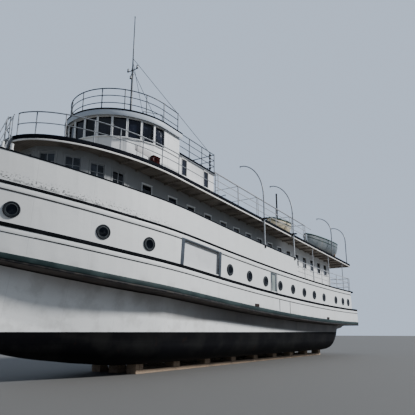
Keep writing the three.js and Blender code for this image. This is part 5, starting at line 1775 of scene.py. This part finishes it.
def rod(name, start, end, radius, sides=12, share=1.0):
    """A round bar between two points, whose far end may be thinner, with eased edges"""
    start, end = Vector(start), Vector(end)
    run = end - start
    piece = start_with("cone", name, vertices=sides, radius1=radius, radius2=radius * share, depth=run.length)
    piece.rotation_mode = "QUATERNION"
    piece.rotation_quaternion = run.to_track_quat("Z", "Y")
    piece.location = (start + end) / 2
    set_in_place(piece)
    return rounded(piece, min(0.006, radius / 4), 1, 60)


def upright(name, place, low, high, radius, sides=12, share=1.0):
    """A rod that stands at a place, from one height to another"""
    x, y = place
    return rod(name, (x, y, low), (x, y, high), radius, sides, share)


def mast():
    """Spars with their bands, crosstree, backstay and lamps"""
    place = (MAST_X, 0)
    foot = boat_deck_z(MAST_X) + PILOT_HEIGHT + ROOF
    tree_z = CAP_Z - 0.11
    stay_foot = boat_deck_z(STAY_X) + TEXAS_HEIGHT + ROOF
    stay = [Vector((MAST_X, 0, CAP_Z - 0.06)), Vector((STAY_X, 0, stay_foot + 0.02))]
    parts = [
        upright("mast_lower", place, foot, CAP_Z, 0.058, 20, 0.85),
        upright("mast_upper", place, CAP_Z - 0.35, MAST_TOP_Z, 0.034, 14, 0.65),
        upright("mast_step", place, foot - 0.01, foot + 0.05, 0.14, 24),
        upright("mast_boot", place, foot + 0.04, foot + 0.17, 0.095, 24, 0.68),
        rod("crosstree", (MAST_X, -CROSSTREE_HALF, tree_z), (MAST_X, CROSSTREE_HALF, tree_z), 0.022, 12),
        start_with(
            "uv_sphere", "truck", segments=16, ring_count=10, radius=0.034,
            location=(MAST_X, 0, MAST_TOP_Z - 0.034),
        ),
        pipes("backstay", [stay], STAY_RADIUS, 6),
        upright("turnbuckle", (STAY_X, 0), stay_foot, stay_foot + 0.05, 0.03, 12),
    ]
    for z in (CAP_Z - 0.14, CAP_Z - 0.36, foot + 1.4):
        parts.append(upright(f"band_{z}", place, z, z + BAND_DEPTH, 0.066, 20))
    whole = smoothed(set_in_place(joined(parts, "mast_spars")), 50)
    finished(whole, "mast_grey", "davit_grey", replaces=["mast"])
    bodies, glasses = [], []
    for x, y, z in MAST_LAMPS:
        bodies.append(upright(f"lamp_foot_{z}_{y}", (x, y), z - 0.075, z - 0.045, 0.055, 16))
        bodies.append(upright(f"lamp_hood_{z}_{y}", (x, y), z + 0.045, z + 0.095, 0.055, 16, 0.4))
        glasses.append(upright(f"lamp_{z}_{y}", (x, y), z - 0.05, z + 0.05, 0.045, 16))
    finished(smoothed(joined(bodies, "mast_lamp_bodies")), "black_iron", "iron")
    finished(smoothed(joined(glasses, "mast_lamp_glasses")), "lamp_clear", "window_glass")


STOVE_PLACE = (-6.5, 1.0)
STOVE_HEIGHT = 3.65
STOVE_BANDS = (0.9, 1.85, 2.8, 3.5)
STOVE_LEGS = 3
STOVE_LEG_CIRCLE = 0.045


def stovepipe():
    x, y = STOVE_PLACE
    foot = boat_deck_z(x)
    top = foot + STOVE_HEIGHT
    parts = [
        upright("stove_tube", STOVE_PLACE, foot, top - 0.08, 0.055, 20),
        upright("stove_flange", STOVE_PLACE, foot - 0.002, foot + 0.03, 0.13, 24),
        upright("stove_collar", STOVE_PLACE, foot + 0.03, foot + 0.12, 0.09, 24, 0.68),
        upright("stove_cap", STOVE_PLACE, top - 0.06, top, 0.075, 24, 0.2),
    ]
    for lift in STOVE_BANDS:
        parts.append(upright(f"stove_band_{lift}", STOVE_PLACE, foot + lift, foot + lift + 0.03, 0.061, 20))
    for leg in range(STOVE_LEGS):
        angle = math.tau * leg / STOVE_LEGS
        place = (x + STOVE_LEG_CIRCLE * math.cos(angle), y + STOVE_LEG_CIRCLE * math.sin(angle))
        parts.append(upright(f"stove_leg_{leg}", place, top - 0.1, top - 0.04, 0.007, 6))
    whole = smoothed(joined(parts, "stovepipe_flue"), 40)
    finished(whole, "black_iron", "iron", replaces=["stovepipe"])


BITT_XS = (13.9, 14.5)
BITT_X = 14.2
BITT_YS = (-0.2, 0.2)
BITT_HALF_WIDTH = 0.33
BITT_BAR_HEIGHT = 0.42


def bitts():
    bed = deck_z(BITT_XS[1], PASSENGER_DECK) + 0.01
    bar_z = bed + BITT_BAR_HEIGHT
    parts = [
        block("bitt_bed", BITT_XS, about(0.0, BITT_HALF_WIDTH), (bed, bed + 0.06), bevel=0.012),
        rod("bitt_bar", (BITT_X, -BITT_HALF_WIDTH, bar_z), (BITT_X, BITT_HALF_WIDTH, bar_z), 0.055, 16),
    ]
    for y in BITT_YS:
        parts.append(upright(f"bitt_post_{y}", (BITT_X, y), bed + 0.05, bed + 0.52, 0.085, 24))
        parts.append(upright(f"bitt_head_{y}", (BITT_X, y), bed + 0.51, bed + 0.56, 0.1, 24, 0.85))
    whole = smoothed(joined(parts, "foredeck_bitts"), 40)
    finished(whole, "trim_white", "white_paint", replaces=["bitts"])


LADDER_RUN = 0.7
LADDER_HALF_WIDTH = 0.18
LADDER_TREADS = 6
TREAD_HALF = Vector((0.09, 0.175, 0.015))
HANDRAIL_HEIGHT = 0.86
HANDRAIL_FOOT = 0.08
HANDRAIL_POSTS = (0.1, 0.95)


def ladder():
    """Ladder from the foredeck to the boat deck, with handrails"""
    top = Vector((DECK_NOSE + 0.06, 0, boat_deck_z(DECK_NOSE) - 0.06))
    foot = Vector((top.x + LADDER_RUN, 0, 0))
    foot.z = deck_z(foot.x, PASSENGER_DECK) + 0.02

    def at(share, y, lift=0.0):
        return foot.lerp(top, share) + Vector((0, y, lift))

    sides = (-LADDER_HALF_WIDTH, LADDER_HALF_WIDTH)
    handrails, ends = [], []
    for y in sides:
        handrail = [at(HANDRAIL_FOOT, y, HANDRAIL_HEIGHT), at(1.0, y, HANDRAIL_HEIGHT)]
        posts = [[at(share, y), at(share, y, HANDRAIL_HEIGHT)] for share in HANDRAIL_POSTS]
        handrails += [handrail] + posts
        ends += handrail + [head for _, head in posts]
    parts = [
        moulding("ladder_stringers", [[at(0, y), at(1, y)] for y in sides], 0.035, 0.14),
        pipes("ladder_rails", handrails, 0.017),
        balls("ladder_balls", ends, 0.026),
    ]
    for tread in range(LADDER_TREADS):
        middle = at((tread + 0.6) / LADDER_TREADS, 0)
        parts.append(block(f"tread_{tread}", *zip(middle - TREAD_HALF, middle + TREAD_HALF), bevel=0.005))
    finished(joined(parts, "ladder_steps"), "rail_grey", "rail_grey", replaces=["fore_ladder"])


LIGHT_Y = 2.62
LIGHT_AFT = 8.02
LIGHT_FORE = 8.42
BOARD_FORE = 9.35
BOARD_SLOPE = 0.06


def light_board(side):
    """The slanted board ahead of a lamp box, on its legs"""
    z = boat_deck_z(LIGHT_FORE)
    board = block(
        "board", (LIGHT_FORE, BOARD_FORE), (LIGHT_Y, LIGHT_Y + 0.03), (z + 0.30, z + 0.55), bevel=0.006
    )
    for vertex in board.data.vertices:
        vertex.co.z += BOARD_SLOPE * (vertex.co.x - LIGHT_FORE)
    legs = [
        upright(f"leg_{x}", (x, LIGHT_Y + 0.015), boat_deck_z(x), z + 0.42, 0.014, 8)
        for x in (LIGHT_FORE + 0.1, BOARD_FORE - 0.1)
    ]
    return joined([board] + legs, f"side_light_board_{side}")


def light_box(side):
    """The lamp box with its lid and vent, on its feet"""
    z = boat_deck_z(LIGHT_FORE)
    parts = [
        block(
            "box", (LIGHT_AFT, LIGHT_FORE), (LIGHT_Y - 0.14, LIGHT_Y + 0.16), (z + 0.05, z + 0.40),
            bevel=0.012,
        ),
        block(
            "lid", (LIGHT_AFT - 0.02, LIGHT_FORE + 0.02), (LIGHT_Y - 0.16, LIGHT_Y + 0.18),
            (z + 0.395, z + 0.42), bevel=0.006,
        ),
        upright("vent", (LIGHT_AFT + 0.2, LIGHT_Y), z + 0.41, z + 0.48, 0.06, 16, 0.6),
    ]
    for x in (LIGHT_AFT + 0.05, LIGHT_FORE - 0.05):
        for y in (LIGHT_Y - 0.1, LIGHT_Y + 0.12):
            parts.append(upright(f"foot_{x}_{y}", (x, y), boat_deck_z(x), z + 0.1, 0.016, 8))
    return joined(parts, f"side_light_box_{side}")


def side_lights():
    """Low lamp boxes at the deck's edge behind slanted boards, red to port and green to starboard"""
    lamp_place = (LIGHT_FORE + 0.01, LIGHT_Y + 0.09, boat_deck_z(LIGHT_FORE) + 0.24)
    for side, turn, colour in (("port", 1, "red"), ("starboard", -1, "green")):
        lamp = drum(f"side_light_glass_{side}", lamp_place, 0.085, 0.16, 0.01, 24)
        for piece, paint, slot in (
            (light_board(side), "screen_grey", "white_paint"),
            (light_box(side), f"screen_{colour}", "iron"),
            (smoothed(lamp), f"lamp_{colour}", "window_glass"),
        ):
            if turn < 0:
                piece.scale.y = turn
                facing_out(set_in_place(piece))
            finished(smoothed(piece, 40), paint, slot)


SHROUD_HEAD_Z = 14.6
POST_X = 3.12
POST_Y = 1.93
POST_HEIGHT = 0.95
POST_KNOBS = 5
KNOB_PITCH = 0.18
BRACKET_AFT = (7.55, 2.43)
BRACKET_FORE = (8.55, 2.24)


def roof_fittings():
    """Lamp brackets on the pilothouse roof's edge, and shrouds from the mast to knobbed posts aft of it"""
    brackets, posts, shrouds = [], [], []
    top = deck_height(PILOT_HEIGHT + ROOF)
    for side in SIDES:
        aft, fore = (Vector((x, side * y, top(x))) for x, y in (BRACKET_AFT, BRACKET_FORE))
        run = [aft, aft + Vector((0, 0, 0.34)), fore + Vector((0, 0, 0.10)), fore]
        brackets.append(pipes(f"bracket_{side}", [run], 0.02))
        brackets.append(upright(f"bracket_foot_{side}", aft.xy, aft.z - 0.01, aft.z + 0.05, 0.05, 16))
        foot = Vector((POST_X, side * POST_Y, boat_deck_z(POST_X) + TEXAS_HEIGHT + ROOF))
        head = foot + Vector((0, 0, POST_HEIGHT))
        shrouds.append([head, Vector((MAST_X, side * 0.03, SHROUD_HEAD_Z))])
        posts.append(rod(f"post_{side}", foot, head, 0.03, 12))
        knobs = [foot + Vector((0, 0, 0.12 + KNOB_PITCH * knob)) for knob in range(POST_KNOBS)]
        posts.append(balls(f"post_knobs_{side}", knobs, 0.062))
    finished(smoothed(joined(brackets, "roof_lamp_brackets"), 50), "rail_dark", "rail_grey")
    finished(smoothed(joined(posts, "knobbed_posts"), 50), "black_iron", "iron")
    finished(pipes("mast_shrouds", shrouds, STAY_RADIUS, 6), "mast_grey", "iron")


BLOCK_ROWS = (("keel_blocks", 0.0), ("bilge_blocks_port", 1.0), ("bilge_blocks_starboard", -1.0))
BLOCKS_AFT = -12.3
SLEEPERS = 4
SLEEPER_PITCH = 4.9125
SLEEPER_GAP = 0.006
SLEEPER_TOP_Z = 0.15
BAULKS = 9
BAULK_PITCH = 2.4
BAULK_WIDTH = 0.22
BAULK_STEP = 0.23
BLOCK_HALF = 0.25


def blocks():
    """Timber baulks on sleepers under the keel and the bilges"""
    for node, y in BLOCK_ROWS:
        parts = []
        for index in range(SLEEPERS):
            aft = BLOCKS_AFT + index * SLEEPER_PITCH
            along = (aft + SLEEPER_GAP, aft + SLEEPER_PITCH - SLEEPER_GAP)
            for side in SIDES:
                across = (y + side * 0.005, y + side * BLOCK_HALF)
                up = (0.0, SLEEPER_TOP_Z)
                parts.append(block(f"sleeper_{index}_{side}", along, across, up, bevel=0.012))
        for index in range(BAULKS):
            for place in (0.0, BAULK_STEP):
                aft = BLOCKS_AFT + BAULK_PITCH * index + place
                up = (SLEEPER_TOP_Z + 0.002, KEEL_Z)
                along = (aft, aft + BAULK_WIDTH)
                parts.append(block(f"baulk_{index}_{place}", along, about(y, BLOCK_HALF), up, bevel=0.014))
        finished(joined(parts, f"{node}_timbers"), "rough_timber", "timber", replaces=[node])


def stern_gear():
    smooth_copy("propeller", "bronze", "bronze", "screw", 40)
    smooth_copy("rudder", "bottom_paint", "iron", "rudder_blade", 30)
    smooth_copy("engine_block", "black_iron", "iron", bevel=0.03)


# Doors of the main deck

DOOR_SILL = LOWER_STRIPE + LOWER_STRIPE_HEIGHT / 2
HEAD_BAR = 0.05
GANGWAY_AFT = 4.17
GANGWAY_FORE = 6.8
GANGWAY_HEAD = 2.08
SIDE_DOOR_AFT = -1.55
SIDE_DOOR_FORE = -0.95
SIDE_DOOR_HEAD = 2.04
STRIP_THICKNESS = 0.012
SIDE_DOOR_SHADOW_STRIPS = [
    # aft and fore end, and heights above the sheer, of the strips on a leaf; aft and top ones are painted
    # shadow
    (-1.53, -1.41, 1.09, 2.01),
    (-1.405, -1.025, 1.93, 2.01),
    (-1.02, -0.97, 1.09, 2.01),
]


def opening_frame(name, aft, fore, head, over, out, thickness):
    """Uprights and a head on both sides of the ship, lapping over an opening or standing clear of it"""
    bars = []
    top = head + HEAD_BAR
    for bar_aft, bar_fore, bar_low in (
        (aft - out, aft + over, DOOR_SILL),
        (fore - over, fore + out, DOOR_SILL),
        (aft + over, fore - over, head - over / 2),
    ):
        run = side_run(bar_aft, bar_fore, (bar_low + top) / 2)
        bars.append(moulding(f"{name}_{bar_aft}", both_sides([run]), thickness, top - bar_low))
    return finished(joined(bars, name), "jamb_grey", "guard_green")


def side_doors():
    """Leaves, jambs round the gangway, and frames of the side doors, with dark strips of painted shadow on
    their leaves
    """
    opening_frame("gangway_jambs", GANGWAY_AFT, GANGWAY_FORE, GANGWAY_HEAD, 0.05, 0.13, 0.03)
    opening_frame("side_door_frames", SIDE_DOOR_AFT, SIDE_DOOR_FORE, SIDE_DOOR_HEAD, -0.03, 0.08, 0.024)
    for side, turn in (("port", 1), ("starboard", -1)):
        smooth_copy(f"gangway_door_{side}", "door_grey", "white_paint", f"gangway_leaf_{side}")
        smooth_copy(f"side_door_{side}", "door_green", "white_paint", f"side_leaf_{side}")
        smooth_copy(f"pilothouse_door_{side}", "house_white", "white_paint", f"pilothouse_leaf_{side}")
        # Dark strips on the leaf's aft edge and top: painted shadow cast by the doorway's jamb and head
        strips = []
        for aft, fore, low, high in SIDE_DOOR_SHADOW_STRIPS:
            run = [Vector((p.x, turn * p.y, p.z)) for p in side_run(aft, fore, (low + high) / 2)]
            strips.append(moulding(f"strip_{aft}_{low}", [run], STRIP_THICKNESS, high - low))
        strips = joined(strips, f"side_door_strips_{side}")
        finished(strips, "jamb_grey", "guard_green", f"side_leaf_{side}")


# Camera, floor and light

CAMERA_PLACE = Vector((21.55, 14.35, 1.6))
CAMERA_HEADING = Vector((-0.8261, -0.5635, 0.0))
CAMERA_PITCH = math.radians(15.11)
CAMERA_LENS = 40.0
CAMERA_FILM = 36.0
CAMERA_REACH = 500.0


def camera():
    data = bpy.data.cameras.new("photo_view")
    data.lens = CAMERA_LENS
    data.sensor_width = CAMERA_FILM
    data.clip_end = CAMERA_REACH
    view = bpy.data.objects.new("photo_view", data)
    bpy.context.scene.collection.objects.link(view)
    view.location = CAMERA_PLACE
    heading = math.atan2(CAMERA_HEADING.y, CAMERA_HEADING.x)
    view.rotation_euler = (math.radians(90) + CAMERA_PITCH, 0, heading - math.radians(90))
    bpy.context.scene.camera = view


FLOOR_SIZE = 400
FLOOR_COLOUR = (0.115, 0.112, 0.105)
FLOOR_SHADE = (0.100, 0.098, 0.092)


def floor():
    """A plain pale floor"""
    ground = start_with("grid", "floor", x_subdivisions=4, y_subdivisions=4, size=FLOOR_SIZE)
    finish = Finish("floor_plain", roughness=0.9)
    tone = finish.noise(0.05, 2)
    ground.data.materials.append(finish.done(finish.blend(tone * 0.3, FLOOR_COLOUR, FLOOR_SHADE)))


BRIGHT_SKY = Vector((-0.83, -0.56, 0.05))
BRIGHT_SKY_COLOUR = (0.56, 0.67, 0.84)
DARK_SKY_COLOUR = (0.29, 0.34, 0.42)
SKY_TURN = (-0.1, 0.75)
LAMPS = [
    # name, direction that it shines from, strength, and angle across in degrees
    ("key", Vector((-0.49, 0.70, 0.52)), 4.9, 7),
    ("fill", Vector((0.55, 0.35, 0.75)), 0.1, 60),
]


def light():
    """A sky that is brighter towards one side, a sun and a faint fill"""
    world = bpy.data.worlds.new("studio")
    world.use_nodes = True
    tree = world.node_tree
    background = tree.nodes["Background"]
    place = tree.nodes.new("ShaderNodeTexCoord")
    towards = tree.nodes.new("ShaderNodeVectorMath")
    towards.operation = "DOT_PRODUCT"
    towards.inputs[1].default_value = BRIGHT_SKY
    tree.links.new(place.outputs["Generated"], towards.inputs[0])
    ramp = tree.nodes.new("ShaderNodeMapRange")
    ramp.inputs["From Min"].default_value, ramp.inputs["From Max"].default_value = SKY_TURN
    tree.links.new(towards.outputs["Value"], ramp.inputs["Value"])
    mix = tree.nodes.new("ShaderNodeMix")
    mix.data_type = "RGBA"
    mix.inputs["A"].default_value = (*DARK_SKY_COLOUR, 1)
    mix.inputs["B"].default_value = (*BRIGHT_SKY_COLOUR, 1)
    tree.links.new(ramp.outputs["Result"], mix.inputs["Factor"])
    tree.links.new(mix.outputs["Result"], background.inputs["Color"])
    background.inputs["Strength"].default_value = 1.0
    bpy.context.scene.world = world
    for name, source, strength, angle in LAMPS:
        data = bpy.data.lights.new(name, "SUN")
        data.energy = strength
        data.angle = math.radians(angle)
        lamp = bpy.data.objects.new(name, data)
        lamp.rotation_euler = source.to_track_quat("Z", "Y").to_euler()
        bpy.context.scene.collection.objects.link(lamp)


for step in (
    camera, floor, light, hull, plating, stripes, guard_strake, side_fittings, portholes, boat_deck, cabin,
    pilothouse, roof_rails, deck_rails, aft_rails, awning, davits,
):
    step()
for boat in LIFEBOATS:
    lifeboat(*boat)
for step in (mast, stovepipe, bitts, ladder, side_lights, roof_fittings, blocks, stern_gear, side_doors):
    step()
